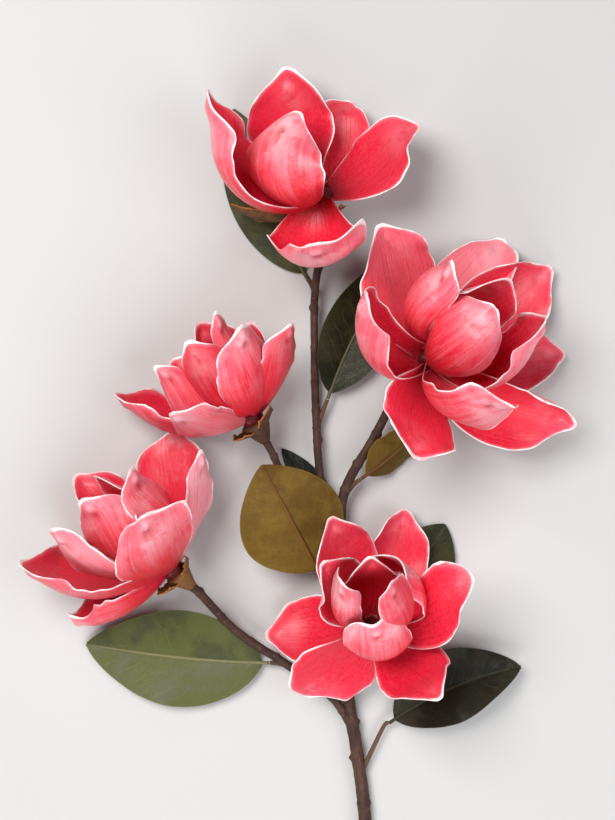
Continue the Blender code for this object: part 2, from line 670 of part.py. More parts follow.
def make_floor_cutter(cutters):
    """A slab below the surface, which gives every piece that touches the surface a small flat spot."""
    bpy.ops.mesh.primitive_cube_add(size=1.0, location=(0.0, 0.0, -0.05))
    slab = bpy.context.object
    slab.name = "surface_cutter"
    slab.scale = (1.2, 1.6, 0.1)
    for owner in list(slab.users_collection):
        owner.objects.unlink(slab)
    cutters.objects.link(slab)
    slab.hide_render = True
    slab.display_type = "WIRE"
    return slab


def rest_on_surface(piece, slab):
    """Trims off what reaches below the surface."""
    trim = piece.modifiers.new("Rest", "BOOLEAN")
    trim.operation = "DIFFERENCE"
    trim.object = slab
    trim.solver = "EXACT"


def main():
    for item in list(bpy.data.objects):
        bpy.data.objects.remove(item)
    parts = bpy.data.collections.new("Magnolia branch")
    cutters = bpy.data.collections.new("Cutters")
    bpy.context.scene.collection.children.link(parts)
    bpy.context.scene.collection.children.link(cutters)
    slab = make_floor_cutter(cutters)
    for name, bloom in BLOOMS.items():
        rest_on_surface(finish(make_bloom("bloom_" + name, bloom), "petal", parts), slab)
        finish(make_calyx("calyx_" + name, bloom), "calyx", parts)
        finish(make_cone("cone_" + name, bloom), "cone", parts)
    for name, leaf in LEAVES.items():
        colour = "ochre_leaf" if name.startswith("ochre") else "leaf"
        finish(make_leaf("leaf_" + name, leaf), colour, parts)
    rest_on_surface(finish(make_stem(), "bark", parts), slab)


main()
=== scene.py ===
import math

import bpy
import numpy as np
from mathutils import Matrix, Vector


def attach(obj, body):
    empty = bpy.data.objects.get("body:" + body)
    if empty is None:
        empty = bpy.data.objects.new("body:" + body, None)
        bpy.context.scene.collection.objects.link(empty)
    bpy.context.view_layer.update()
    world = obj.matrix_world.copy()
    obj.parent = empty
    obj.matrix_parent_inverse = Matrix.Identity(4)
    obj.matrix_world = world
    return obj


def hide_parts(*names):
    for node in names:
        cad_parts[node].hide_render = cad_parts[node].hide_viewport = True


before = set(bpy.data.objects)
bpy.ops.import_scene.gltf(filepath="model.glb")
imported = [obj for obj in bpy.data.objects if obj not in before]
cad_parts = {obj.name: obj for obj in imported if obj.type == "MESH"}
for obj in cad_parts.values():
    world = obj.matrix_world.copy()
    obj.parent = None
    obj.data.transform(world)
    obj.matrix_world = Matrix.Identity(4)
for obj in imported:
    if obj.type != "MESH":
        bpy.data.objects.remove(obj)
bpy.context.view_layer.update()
print("frame loaded")

# sizes are in mm and angles in degrees until a mesh is made
mm = 0.001
fullTurn = 2.0 * math.pi
footprintMiddle = np.array([-5.9, -72.3, 0.0])  # where the frame's origin lies in the drawing
tubeFloor = 0.1  # a round stem is flattened by its own weight at this height
twigEnd = -18.35  # where a twig meets the bloom's cup, along the bloom's axis
noEdge = 40.0  # the edge mark of a solid that has no cut edge

# ranges of random draws
anySeed = (0.0, 40.0)
anyTone = (0.0, 9.0)
anyPhase = (0.0, 6.0)

bladeLook = {
    "gatherAcross": 1.7,  # how much closer together the cells lie towards the edge
    "gatherAlong": 1.45,
    "thinEdge": 0.62,  # the share of its thickness that a blade has at its edge
    "thinWidth": 5.0,  # how far in from the edge it reaches its full thickness
    "rimRound": 0.9,  # how far the rim stands out, as a share of half the thickness
    "floorGap": 0.25,  # the least that a blade stays above the surface
    "floorSoft": 0.6,
}


def smoothStep(x):
    x = np.clip(x, 0.0, 1.0)
    return x * x * (3.0 - 2.0 * x)


def rise(x, start, end):
    return smoothStep((x - start) / (end - start))


def hump(x, width):
    return np.exp(-((x / width) ** 2))


def wave(x):
    return np.sin(fullTurn * x)


def unit(vectors):
    return vectors / np.maximum(np.linalg.norm(vectors, axis=-1, keepdims=True), 1e-12)


def distances(points):
    # how far along a line each of its points lies
    return np.concatenate([[0.0], np.cumsum(np.linalg.norm(np.diff(points, axis=0), axis=1))])


def inMetres(points):
    return (np.asarray(points, float) - footprintMiddle) * mm


def softFloor(sheet, thickness):
    # keeps a blade's middle sheet above the surface without a crease
    soft = bladeLook["floorSoft"] * mm
    least = (0.5 * thickness + bladeLook["floorGap"]) * mm
    sheet[..., 2] = soft * np.logaddexp(sheet[..., 2] / soft, least / soft)
    return sheet


def newStore():
    return {"verts": [], "faces": [], "uv": [], "marks": {}, "count": 0}


def addTo(store, verts, faces, uv, **marks):
    # a mark is one number, or one number for each vertex
    verts = np.asarray(verts, float).reshape(-1, 3)
    start = store["count"]
    store["verts"].append(verts)
    store["faces"].extend([tuple(start + i for i in face) for face in faces])
    store["uv"].append(np.asarray(uv, float).reshape(-1, 2))
    for name, values in marks.items():
        store["marks"].setdefault(name, []).append(np.broadcast_to(np.ravel(values), (len(verts),)))
    store["count"] += len(verts)


def makePiece(name, store, material, nodeName):
    mesh = bpy.data.meshes.new(name)
    verts = np.concatenate(store["verts"])
    mesh.from_pydata(verts.tolist(), [], store["faces"])
    mesh.polygons.foreach_set("use_smooth", [True] * len(mesh.polygons))
    uv = np.concatenate(store["uv"])
    corners = np.zeros(len(mesh.loops), np.int32)
    mesh.loops.foreach_get("vertex_index", corners)
    layer = mesh.uv_layers.new(name="bladeMap")
    layer.uv.foreach_set("vector", uv[corners].astype(np.float32).ravel())
    for mark, values in store["marks"].items():
        attribute = mesh.attributes.new(mark, "FLOAT", "POINT")
        attribute.data.foreach_set("value", np.concatenate(values).astype(np.float32))
    mesh.materials.append(material)
    mesh.update()
    piece = bpy.data.objects.new(name, mesh)
    bpy.context.scene.collection.objects.link(piece)
    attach(piece, "root")
    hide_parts(nodeName)
    return piece


def ringFaces(rings, sides):
    faces = []
    for i in range(rings - 1):
        for k in range(sides):
            m = (k + 1) % sides
            faces.append((i * sides + k, i * sides + m, (i + 1) * sides + m, (i + 1) * sides + k))
    return faces


def flatCaps(rings, sides):
    return [tuple(reversed(range(sides))), tuple(range((rings - 1) * sides, rings * sides))]


def addTube(store, run, sides, swell=None, **marks):
    # a round solid along rows of a point and a radius, with a flat cap at each end
    spots, radii = run[:, :3], run[:, 3]
    ahead = unit(np.gradient(spots, axis=0))
    side = unit(np.cross(ahead[0], [0.0, 0.0, 1.0] if abs(ahead[0][2]) < 0.9 else [1.0, 0.0, 0.0]))
    verts, uv = [], []
    far = distances(spots)
    turns = fullTurn * np.arange(sides) / sides
    for i, spot in enumerate(spots):
        side = unit(side - ahead[i] * np.dot(side, ahead[i]))
        other = np.cross(ahead[i], side)
        reach = radii[i] * (np.ones(sides) if swell is None else swell(far[i], turns))
        ring = spot + (np.cos(turns) * reach)[:, None] * side + (np.sin(turns) * reach)[:, None] * other
        ring[:, 2] = np.maximum(ring[:, 2], tubeFloor)
        verts.extend(inMetres(ring))
        uv.extend([(k / sides, far[i]) for k in range(sides)])
    addTo(store, verts, ringFaces(len(spots), sides) + flatCaps(len(spots), sides), uv, **marks)


def turnedSolid(store, place, profile, sides, **marks):
    # place(turn, height, radius) gives a point; profile is (height, radius) rows, closed at both ends
    rows = len(profile)
    turns = np.linspace(0.0, fullTurn, sides, endpoint=False)
    verts = [place(turn, height, radius) for height, radius in profile for turn in turns]
    uv = [(k / sides, height) for height, radius in profile for k in range(sides)]
    for height in (profile[0][0], profile[-1][0]):
        verts.append(place(0.0, height, 0.0))
        uv.append((0.0, height))
    faces = ringFaces(rows, sides)
    foot, top = rows * sides, rows * sides + 1
    for k in range(sides):
        m = (k + 1) % sides
        faces.append((m, k, foot))
        faces.append(((rows - 1) * sides + k, (rows - 1) * sides + m, top))
    addTo(store, verts, faces, uv, **marks)


def evenRows(profile, count):
    # the profile's radius at evenly spaced heights
    heights, radii = np.array(profile).T
    spots = np.linspace(heights[0], heights[-1], count)
    return list(zip(spots, np.interp(spots, heights, radii)))


def gridSpots(cells):
    # across runs -1 to 1 and along 0 to 1, closer together towards the blade's edge
    t = np.linspace(-1.0, 1.0, cells[0] + 1)
    s = np.linspace(0.0, 1.0, cells[1] + 1)
    across = np.sign(t) * (1.0 - (1.0 - np.abs(t)) ** bladeLook["gatherAcross"])
    along = 1.0 - (1.0 - s) ** bladeLook["gatherAlong"]
    return np.meshgrid(across, along, indexing="ij")


def sheetNormals(sheet):
    cell = np.cross(sheet[1:, 1:] - sheet[:-1, :-1], sheet[:-1, 1:] - sheet[1:, :-1])
    normal = np.zeros_like(sheet)
    normal[:-1, :-1] += cell
    normal[1:, :-1] += cell
    normal[:-1, 1:] += cell
    normal[1:, 1:] += cell
    return unit(normal)


def bladeSolid(store, sheet, across, along, edge, thickness, **marks):
    # two faces and a rounded rim round a middle sheet; face is 0 on the inner side and 1 on the outer
    rows, columns = across.shape
    normal = sheetNormals(sheet)
    thin = bladeLook["thinEdge"]
    half = 0.5 * thickness * mm * (thin + (1.0 - thin) * smoothStep(edge / bladeLook["thinWidth"]))
    inner = sheet - normal * half[..., None]
    outer = sheet + normal * half[..., None]
    # the rim runs up one side, across the tip and down the other, and stands away from the cells inside it
    border = [(0, j) for j in range(columns)]
    border += [(i, columns - 1) for i in range(1, rows)]
    border += [(rows - 1, j) for j in range(columns - 2, -1, -1)]
    inside = [(min(max(i, 1), rows - 2), min(j, columns - 2)) for i, j in border]
    bi, bj = np.array(border).T
    ii, ij = np.array(inside).T
    away = sheet[bi, bj] - sheet[ii, ij]
    away -= normal[bi, bj] * np.sum(away * normal[bi, bj], axis=1, keepdims=True)
    rim = sheet[bi, bj] + unit(away) * half[bi, bj][:, None] * bladeLook["rimRound"]
    n = rows * columns
    at = np.arange(n).reshape(rows, columns)
    faces = []
    for i in range(rows - 1):
        for j in range(columns - 1):
            a, b, c, d = at[i, j], at[i, j + 1], at[i + 1, j + 1], at[i + 1, j]
            faces.append((a, b, c, d))
            faces.append((n + a, n + d, n + c, n + b))
    for k in range(len(border) - 1):
        a, b = at[border[k]], at[border[k + 1]]
        r, s = 2 * n + k, 2 * n + k + 1
        faces.append((a, r, s, b))
        faces.append((n + a, n + b, s, r))
    # the foot is flat
    for i in range(rows - 1):
        a, b = at[i, 0], at[i + 1, 0]
        faces.append((a, b, n + b, n + a))
    faces.append((at[0, 0], n + at[0, 0], 2 * n))
    faces.append((at[rows - 1, 0], 2 * n + len(border) - 1, n + at[rows - 1, 0]))
    verts = np.concatenate([inner.reshape(-1, 3), outer.reshape(-1, 3), rim])
    uv = np.stack([across * 0.5 + 0.5, along], axis=-1)
    uv = np.concatenate([uv.reshape(-1, 2), uv.reshape(-1, 2), uv[bi, bj]])
    made = {"face": np.repeat([0.0, 1.0, 0.5], [n, n, len(border)])}
    made["edge"] = np.concatenate([edge.ravel(), edge.ravel(), np.full(len(border), -0.5)])
    for name, values in marks.items():
        values = np.broadcast_to(values, across.shape)
        made[name] = np.concatenate([values.ravel(), values.ravel(), values[bi, bj]])
    addTo(store, verts, faces, uv, **made)


# a rise is where something starts, along the petal or past its widest place, and where it is full
petalLook = {
    "thickness": 1.3,
    "cells": (38, 46),
    "widest": 0.55,  # where along its length a petal is widest
    "lineSteps": 160,
    "lineReach": 1.08,  # the midline runs on past the length, to hold the point
    "flickRise": (0.76, 1.02),
    "arcLess": 0.15,  # how much flatter the arc across is at the tip
    "point": 0.09,  # how far the tip's middle stands out, as a share of the length
    "pointWidth": 0.34,
    "pointRise": (0.2, 1.0),
    "flare": 0.10,  # how far the sides turn outwards
    "flareRise": (0.0, 0.5),
    "waves": 1.3,
    "waveShift": 0.41,  # the waves on one side run ahead of those on the other
    "waveRise": (0.15, 0.65),
    "fineRuffle": 0.55,
    "fineWaves": (3.6, 4.8),
    "fineRise": (0.25, 0.65),
    "pinch": 0.16,  # how far the sides of the tip fold in
    "pinchRise": (0.5, 1.0),
    "knob": 2.3,  # how far the little knob near the tip stands out
    "knobAt": 0.90,
    "knobShift": 0.05,  # at most this far to one side
    "knobSize": (0.12, 0.040),
    "dimple": 0.35,  # the depth of the dimple below the knob, as a share of the knob's height
    "dimpleSize": (0.10, 0.032),
    "dimpleDrop": 0.065,
    "tipWhite": 2.6,  # how much wider the white rim is at the tip
    "tipWidth": 0.34,
    "tipRise": (0.86, 1.0),
    "satin": 1.0,  # how strong the painted highlight round the tip is
    "crownSize": (0.42, 0.14),
    "crownDrop": 0.07,
    "lobes": 0.0,  # how strong the painted highlight is on the two sides of a blunt tip
    "lobeAt": 0.52,
    "lobeWidth": 0.26,
    "lobeRise": (0.72, 0.96),
    "depth": 0.0,  # above 0 the whole petal gets painted shade, and below 0 painted light
}

# these follow the bloom's size
sizedValues = ("length", "width", "ruffle", "sway", "knob", "fineRuffle", "tipWhite")

receptacle = {"profile": ((-1.0, 8.0), (3.0, 8.6), (9.0, 6.5)), "sides": 20}

# how far out of a bloom's axis, and how far up it, a whorl's petals start
roots = {"inner": (4.0, 7.0), "middle": (4.5, 4.0), "outer": (5.0, 1.5), "bract": (4.0, -9.0)}

# a petal's whorl and its own values, in this order; a dictionary of others may follow
petalColumns = (
    "azimuth", "lean", "end", "length", "width", "cup", "claw",
    "flick", "bowl", "roll", "twist", "sway", "ruffle", "phase",
)
bractColumns = ("azimuth", "lean", "end", "length", "width", "roll")

# most petal rows are the output of a least-squares fit to points read off the photograph, not hand-made
blooms = {
    "top": {
        "base": (11.0, 146.0, 31.2),
        "heading": 100.0,
        "rise": 20.0,
        "size": 1.0,
        "petals": (
            ("inner", 309, 127, -70, 102.8, 88.8, 55, 0.22, 0, 1.3, -7, 16, -0.4, 1.0, 0.31),
            ("inner", 222, 56, -10, 36.0, 24.0, 68, 0.38, 14, 2.4, 0, 0, 0.0, 0.6, 0.22),
            ("inner", 262, 52, -10, 44.0, 30.0, 68, 0.38, 14, 2.4, 0, 0, 0.0, 0.6, 0.42),
            (
                "middle", 201, 70, -13, 91.8, 69.4, 36, 0.31, 12, 1.9, -55, 18, -2.1, 1.2, 0.96,
                {"root": (6.5, 4.0), "depth": 0.3, "satin": 1.6},
            ),
            ("middle", 92, 89, 31, 75.4, 68.3, 26, 0.33, 49, 1.3, 22, 3, -0.5, 1.8, 0.00),
            (
                "outer", 271, 100, -50, 121.0, 88.0, 76, 0.29, 43, 0.8, -32, 24, 4.0, 1.1, 0.75,
                {"depth": 0.1},
            ),
            (
                "outer", 335, 178, -4, 103.3, 88.1, 73, 0.38, 52, 0.8, -3, 9, 26.0, 5.0, 0.50,
                {"root": (7.0, 4.5)},
            ),
            ("outer", 147, 69, 18, 77.3, 48.9, 51, 0.30, 61, 1.6, 29, -4, 1.1, 1.3, 0.66),
            ("outer", 228, 62, -14, 44.0, 44.0, 46, 0.30, 26, 1.4, 0, 0, 0.0, 1.2, 0.25),
        ),
        "cup": 0.5,
        "heart": 0.45,
        "bracts": ((270, 98, 54, 60.0, 15.0, 40), (90, 85, 70, 11.0, 12.0, -20)),
    },
    "right": {
        "base": (81.0, 34.0, 44.8),
        "heading": 40.0,
        "rise": 52.0,
        "size": 1.0,
        "petals": (
            (
                "inner", 360, 50, -34, 77.2, 73.8, 88, 0.37, 3, 1.7, -23, 21, 1.5, 1.2, 0.19,
                {"root": (5.0, 7.0), "tipWhite": 0.5, "knobAt": 0.86, "knob": 3.0},
            ),
            (
                "inner", 284, 90, -13, 86.8, 44.0, 83, 0.45, 30, 2.1, 62, -19, -6.7, 1.2, 0.88,
                {"root": (6.5, 6.0)},
            ),
            ("inner", 201, 79, -13, 87.3, 58.1, 58, 0.38, 3, 2.4, 9, 8, -0.6, 1.2, 0.99),
            (
                "middle", 327, 110, 20, 117.6, 69.8, 98, 0.46, -8, 1.6, -20, 19, -7.8, -0.9, 0.10,
                {"depth": 0.15},
            ),
            (
                "middle", 42, 109, -3, 112.7, 55.9, 48, 0.36, 31, 1.8, -26, 14, 6.9, 3.5, 0.71,
                {"root": (6.5, 5.0)},
            ),
            ("middle", 119, 103, -30, 109.6, 59.6, 85, 0.34, 9, 1.5, 22, -28, 5.0, 1.6, 0.59),
            (
                "outer", 260, 85, 59, 87.1, 73.4, 26, 0.30, 23, 1.4, 1, -7, -5.9, 1.1, 0.61,
                {"depth": -0.08},
            ),
            (
                "outer", 200, 84, 62, 105.4, 60.2, 61, 0.30, 35, 1.4, -16, -10, -8.6, 1.1, 0.97,
                {"root": (5.0, -1.0), "depth": -0.35, "satin": 2.6},
            ),
            (
                "outer", 177, 90, 52, 107.7, 67.7, 48, 0.30, 12, 1.3, 17, 3, -2.8, 1.1, 0.81,
                {"root": (5.0, 3.0), "satin": 3},
            ),
            ("outer", 145, 103, 58, 99.8, 63.2, 35, 0.30, 15, 1.2, 0, -7, 1.1, 1.1, 0.47),
            ("outer", 110, 104, 35, 104.2, 67.2, 81, 0.26, 42, 0.9, 45, 31, 5.8, 1.7, 0.23),
            (
                "outer", 34, 115, 73, 67.8, 72.8, 24, 0.28, 12, 1.5, -37, 34, 1.4, 1.0, 0.33,
                {"root": (7.0, 3.0)},
            ),
        ),
        "cup": 0.6,
        "heart": 0.52,
        "bracts": ((70, 104, 92, 16.0, 14.0, 0), (300, 104, 92, 18.0, 14.0, 0)),
    },
    "far_left": {
        "base": (-38.0, -7.0, 33.4),
        "heading": 120.0,
        "rise": 18.0,
        "size": 0.88,
        "petals": (
            (
                "inner", 340, 84, -8, 87.2, 61.3, 69, 0.38, 6, 2.4, -10, 10, -0.9, 1.3, 0.42,
                {"depth": 0.62},
            ),
            (
                "inner", 188, 64, -8, 79.1, 64.1, 73, 0.38, 11, 2.3, 13, 10, -4.0, 1.2, 0.91,
                {"root": (5.5, 6.0), "depth": 0.4},
            ),
            ("inner", 112, 90, 6, 69.1, 58.0, 64, 0.38, 13, 2.4, 16, 12, -0.7, 1.2, 0.08, {"depth": 0.4}),
            (
                "middle", 28, 60, 0, 85.3, 66.2, 70, 0.10, 26, 1.2, 4, 1, 4.2, 1.1, 0.36,
                {"root": (7.5, 4.5), "depth": 0.12, "satin": 1.7},
            ),
            (
                "middle", 298, 97, -12, 93.7, 36.6, 81, 0.34, 38, 1.9, 42, 15, -1.2, 1.2, 0.00,
                {"depth": 0.2},
            ),
            ("middle", 25, 56, -15, 93.8, 31.0, 89, 0.34, 36, 1.7, 4, -3, 5.5, 1.4, 0.62, {"depth": 0.2}),
            (
                "outer", 67, 67, 26, 81.1, 49.2, 51, 0.30, 20, 1.1, -19, -14, -0.2, 1.3, 0.69,
                {"depth": 0.6},
            ),
            ("outer", 254, 97, 10, 109.4, 80.6, 75, 0.30, 8, 1.0, 8, 1, -4.4, 1.0, 0.83, {"depth": 0.45}),
            (
                "outer", 301, 78, 22, 78.6, 58.7, 45, 0.12, 8, 0.9, 27, -5, 21.3, 0.5, 0.41,
                {"depth": -0.22, "satin": 1.6},
            ),
            (
                "outer", 216, 77, 13, 79.3, 72.0, 46, 0.30, 28, 1.5, -4, -3, -1.5, 1.2, 0.29,
                {"depth": 0.35},
            ),
            ("outer", 165, 80, 0, 38.0, 40.0, 46, 0.30, 26, 1.4, 0, 0, 0.0, 1.2, 0.55),
        ),
        "cup": 1.6,
        "heart": 0.75,
        "bracts": ((48, 56, 40, 24.0, 20.0, 0), (290, 78, 70, 18.0, 20.0, 0)),
    },
    "left": {
        "base": (-93.0, -112.0, 32.8),
        "heading": 135.0,
        "rise": 22.0,
        "size": 1.0,
        "petals": (
            (
                "inner", 310, 62, -22, 83.6, 57.6, 42, 0.24, 30, 2.5, -25, 51, 8.6, 1.5, 0.46,
                {"root": (5.5, 6.5)},
            ),
            ("inner", 61, 75, -1, 83.9, 43.0, 58, 0.38, 36, 2.3, -10, -14, -3.2, 1.3, 0.56),
            ("inner", 187, 66, 9, 86.0, 54.7, 65, 0.38, 18, 2.4, 13, 10, -1.7, 1.2, 0.88),
            (
                "middle", 358, 59, 33, 93.0, 64.2, 30, 0.31, 7, 1.2, -6, -13, 28.5, 1.4, 0.08,
                {"root": (7.5, 4.5), "depth": 0.12, "satin": 1.4},
            ),
            (
                "middle", 296, 62, -29, 100.2, 43.7, 29, 0.34, 29, 1.0, 2, 10, 1.3, 1.6, 0.00,
                {"point": 0.0, "depth": -0.25},
            ),
            ("middle", 124, 74, -32, 88.3, 35.9, 45, 0.34, 18, 1.7, -6, 5, 3.1, 1.2, 0.38),
            (
                "outer", 77, 71, 28, 85.6, 33.5, 24, 0.29, 15, 0.8, -22, -22, -1.9, 1.6, 0.62,
                {"depth": -0.5},
            ),
            (
                "outer", 127, 68, 41, 90.3, 73.7, 37, 0.26, 20, 1.2, -12, 39, -0.1, 1.2, 0.12,
                {"depth": 0.25, "satin": 3.2},
            ),
            (
                "outer", 267, 80, -3, 103.4, 97.7, 55, 0.30, 6, 0.9, 17, -16, -5.6, 0.8, 0.77,
                {"depth": 0.5},
            ),
            (
                "outer", 269, 101, 29, 77.8, 74.3, 77, 0.27, -28, 0.6, 8, 12, -5.8, 1.2, 0.99,
                {"depth": 0.3},
            ),
            ("outer", 232, 80, 0, 40.0, 40.0, 46, 0.30, 26, 1.4, 0, 0, 0.0, 1.2, 0.19),
            ("outer", 170, 80, 0, 42.0, 40.0, 46, 0.30, 26, 1.4, 0, 0, 0.0, 1.2, 0.60),
        ),
        "cup": 1.4,
        "heart": 0.65,
        "bracts": ((60, 52, 34, 16.0, 16.0, 0), (290, 72, 62, 17.0, 18.0, 0)),
    },
    "front": {
        "base": (43.5, -150.0, 42.0),
        "heading": 90.0,
        "rise": 72.0,
        "size": 0.74,
        "petals": (
            ("inner", 178, 79, -1, 92.9, 63.4, 37, 0.38, 30, 2.4, 10, 3, 5.1, 1.2, 0.86, {"depth": 0.35}),
            (
                "inner", 69, 64, -28, 119.9, 47.8, 56, 0.38, 14, 2.5, -29, 10, 20.1, 1.2, 0.06,
                {"root": (7.0, 6.0), "depth": 0.25},
            ),
            (
                "inner", 282, 49, -9, 109.5, 49.1, 81, 0.41, 5, 2.6, 44, -17, -24.8, 1.0, 0.72,
                {"root": (8.4, 6.0)},
            ),
            (
                "middle", 12, 101, -49, 107.3, 77.1, 69, 0.34, 5, 1.9, -16, 17, -3.0, 1.1, 0.00,
                {"point": -0.06, "lobes": 1.9, "satin": 0.4},
            ),
            ("middle", 131, 108, -42, 126.0, 82.0, 74, 0.34, 38, 1.4, 10, -11, 16.0, 2.0, 0.52),
            ("middle", 229, 87, 13, 88.0, 65.1, 38, 0.34, 27, 2.0, 4, 4, -3.5, 1.2, 0.40),
            (
                "outer", 43, 128, 15, 101.6, 71.4, 24, 0.25, 38, 1.6, -8, -4, -6.4, 1.2, 0.43,
                {"root": (7.0, 3.0)},
            ),
            (
                "outer", 92, 87, 11, 125.2, 66.4, 34, 0.30, 57, 1.9, 10, 19, 25.2, 1.1, 0.10,
                {"point": 0.02},
            ),
            (
                "outer", 163, 147, 45, 112.4, 80.6, 63, 0.30, 42, 1.2, 18, 6, -1.5, 1.3, 0.74,
                {"root": (7.5, 3.5)},
            ),
            ("outer", 202, 104, 33, 103.9, 67.8, 32, 0.30, 10, 1.4, 14, 2, 0.4, 1.3, 0.08),
            (
                "outer", 271, 145, 79, 96.8, 79.3, 59, 0.27, -3, 0.7, 8, 5, 0.6, 1.1, 0.93,
                {"root": (7.5, 3.5)},
            ),
            (
                "outer", 317, 122, 116, 81.2, 95.2, 24, 0.28, 24, 1.4, -53, 7, -3.4, 1.3, 0.32,
                {"root": (8.0, 3.5)},
            ),
        ),
        "cup": 0.45,
        "heart": 0.66,
        "bracts": ((60, 104, 92, 10.0, 13.0, 0), (250, 104, 92, 10.0, 13.0, 0)),
    },
}


def petalRow(row):
    own = dict(zip(petalColumns, row[1:]))
    for more in row[1 + len(petalColumns):]:
        own.update(more)
    return own


def petalFacts(bloom, whorl, own, seed):
    # all the values of one petal, at its bloom's size, and its midline
    facts = {**petalLook, "root": roots[whorl], **own}
    for name in sizedValues:
        facts[name] *= bloom["size"]
    rng = np.random.default_rng(seed)
    facts["seed"] = rng.uniform(*anySeed)
    facts["finePhase"] = rng.uniform(0.0, 1.0, 2)
    facts["fineWaves"] = rng.uniform(*facts["fineWaves"])
    facts["knobSide"] = rng.uniform(-facts["knobShift"], facts["knobShift"])
    t = np.linspace(0.0, facts["lineReach"], facts["lineSteps"] + 1)
    bowl = np.clip(1.0 - t, 0.0, None) ** facts["bowl"]
    flick = facts["flick"] * rise(t, *facts["flickRise"])
    angle = np.radians(facts["lean"] * bowl + facts["end"] * (1.0 - bowl) + flick)
    step = facts["length"] * facts["lineReach"] / facts["lineSteps"]
    out = facts["root"][0] + np.concatenate([[0.0], np.cumsum(step * np.sin(angle[:-1]))])
    up = facts["root"][1] + np.concatenate([[0.0], np.cumsum(step * np.cos(angle[:-1]))])
    facts["line"] = (t, out, up, angle)
    return facts


def petalOutline(facts, across, along):
    # past the widest place the square grid is rounded off, and below it the blade narrows to its claw
    past = np.clip(along - facts["widest"], 0.0, None) / (1.0 - facts["widest"])
    narrow = np.sqrt(1.0 - 0.5 * past**2)
    far = past * np.sqrt(1.0 - 0.5 * across**2)
    quarter = 0.5 * math.pi * np.minimum(along / facts["widest"], 1.0)
    half = 0.5 * facts["width"] * (facts["claw"] + (1.0 - facts["claw"]) * np.sin(quarter))
    return past, narrow, far, half


def petalEdge(facts, across, along):
    # distance to the blade's edge
    _, narrow, y, half = petalOutline(facts, across, along)
    x = np.abs(across) * narrow
    r = np.maximum(np.hypot(x, y), 1e-6)
    far = (1.0 - facts["widest"]) * facts["length"]
    return np.maximum(1.0 - r, 0.0) / np.sqrt((x / r / half) ** 2 + (y / r / far) ** 2)


def nearKnob(facts, across, along, size, drop=0.0):
    # a soft spot at the knob, or below it
    return hump(across - facts["knobSide"], size[0]) * hump(along - facts["knobAt"] + drop, size[1])


def petalSheet(bloom, facts, across, along):
    # the blade's middle sheet: its outline on the midline, then arc, flare, waves, knob and turn
    past, narrow, far, half = petalOutline(facts, across, along)
    sides = np.abs(across)
    reach = np.minimum(along, facts["widest"]) + (1.0 - facts["widest"]) * far
    reach += facts["point"] * hump(across, facts["pointWidth"]) * rise(past, *facts["pointRise"])
    t, *line = facts["line"]
    out, up, lean = (np.interp(reach, t, values) for values in line)
    half = half * narrow
    arc = math.radians(facts["cup"]) * (1.0 - facts["arcLess"] * along**2)
    radius = half / arc
    side = radius * np.sin(arc * across)
    inwards = radius * (1.0 - np.cos(arc * across))
    inwards -= facts["flare"] * half * across**4 * rise(along, *facts["flareRise"])
    shift = np.where(across < 0.0, 0.0, facts["waveShift"])
    coarse = wave(facts["waves"] * along + facts["phase"] + shift)
    inwards += facts["ruffle"] * coarse * sides**3 * rise(along, *facts["waveRise"])
    fine = wave(facts["fineWaves"] * along + np.where(across < 0.0, *facts["finePhase"]))
    inwards += facts["fineRuffle"] * fine * sides**5 * rise(along, *facts["fineRise"])
    inwards += facts["pinch"] * half * sides**1.6 * rise(past, *facts["pinchRise"])
    knob = nearKnob(facts, across, along, facts["knobSize"])
    dimple = nearKnob(facts, across, along, facts["dimpleSize"], facts["dimpleDrop"])
    inwards += facts["knob"] * (facts["dimple"] * dimple - knob)
    turn = np.radians(facts["roll"] + facts["twist"] * along)
    side, inwards = side * np.cos(turn) - inwards * np.sin(turn), side * np.sin(turn) + inwards * np.cos(turn)
    side = side + facts["sway"] * along**2
    out = out - inwards * np.cos(lean)
    up = up + inwards * np.sin(lean)
    axis, upward, right = bloomAxes(bloom)
    azimuth = math.radians(facts["azimuth"])
    radial = upward * math.cos(azimuth) + right * math.sin(azimuth)
    tangent = right * math.cos(azimuth) - upward * math.sin(azimuth)
    spots = side[..., None] * tangent + out[..., None] * radial + up[..., None] * axis
    return inMetres(np.array(bloom["base"]) + spots), knob - dimple


def bloomAxes(bloom):
    heading, lift = math.radians(bloom["heading"]), math.radians(bloom["rise"])
    axis = np.array([math.cos(heading) * math.cos(lift), math.sin(heading) * math.cos(lift), math.sin(lift)])
    upward = unit(np.array([0.0, 0.0, 1.0]) - axis * axis[2])
    return axis, upward, np.cross(axis, upward)


def axisPlacer(bloom):
    # a point at a turn and radius round the bloom's axis, at a height above its base
    axis, upward, right = bloomAxes(bloom)
    base = np.array(bloom["base"])

    def place(turn, height, radius):
        radial = upward * math.cos(turn) + right * math.sin(turn)
        return inMetres(base + axis * height + radial * radius)

    return place


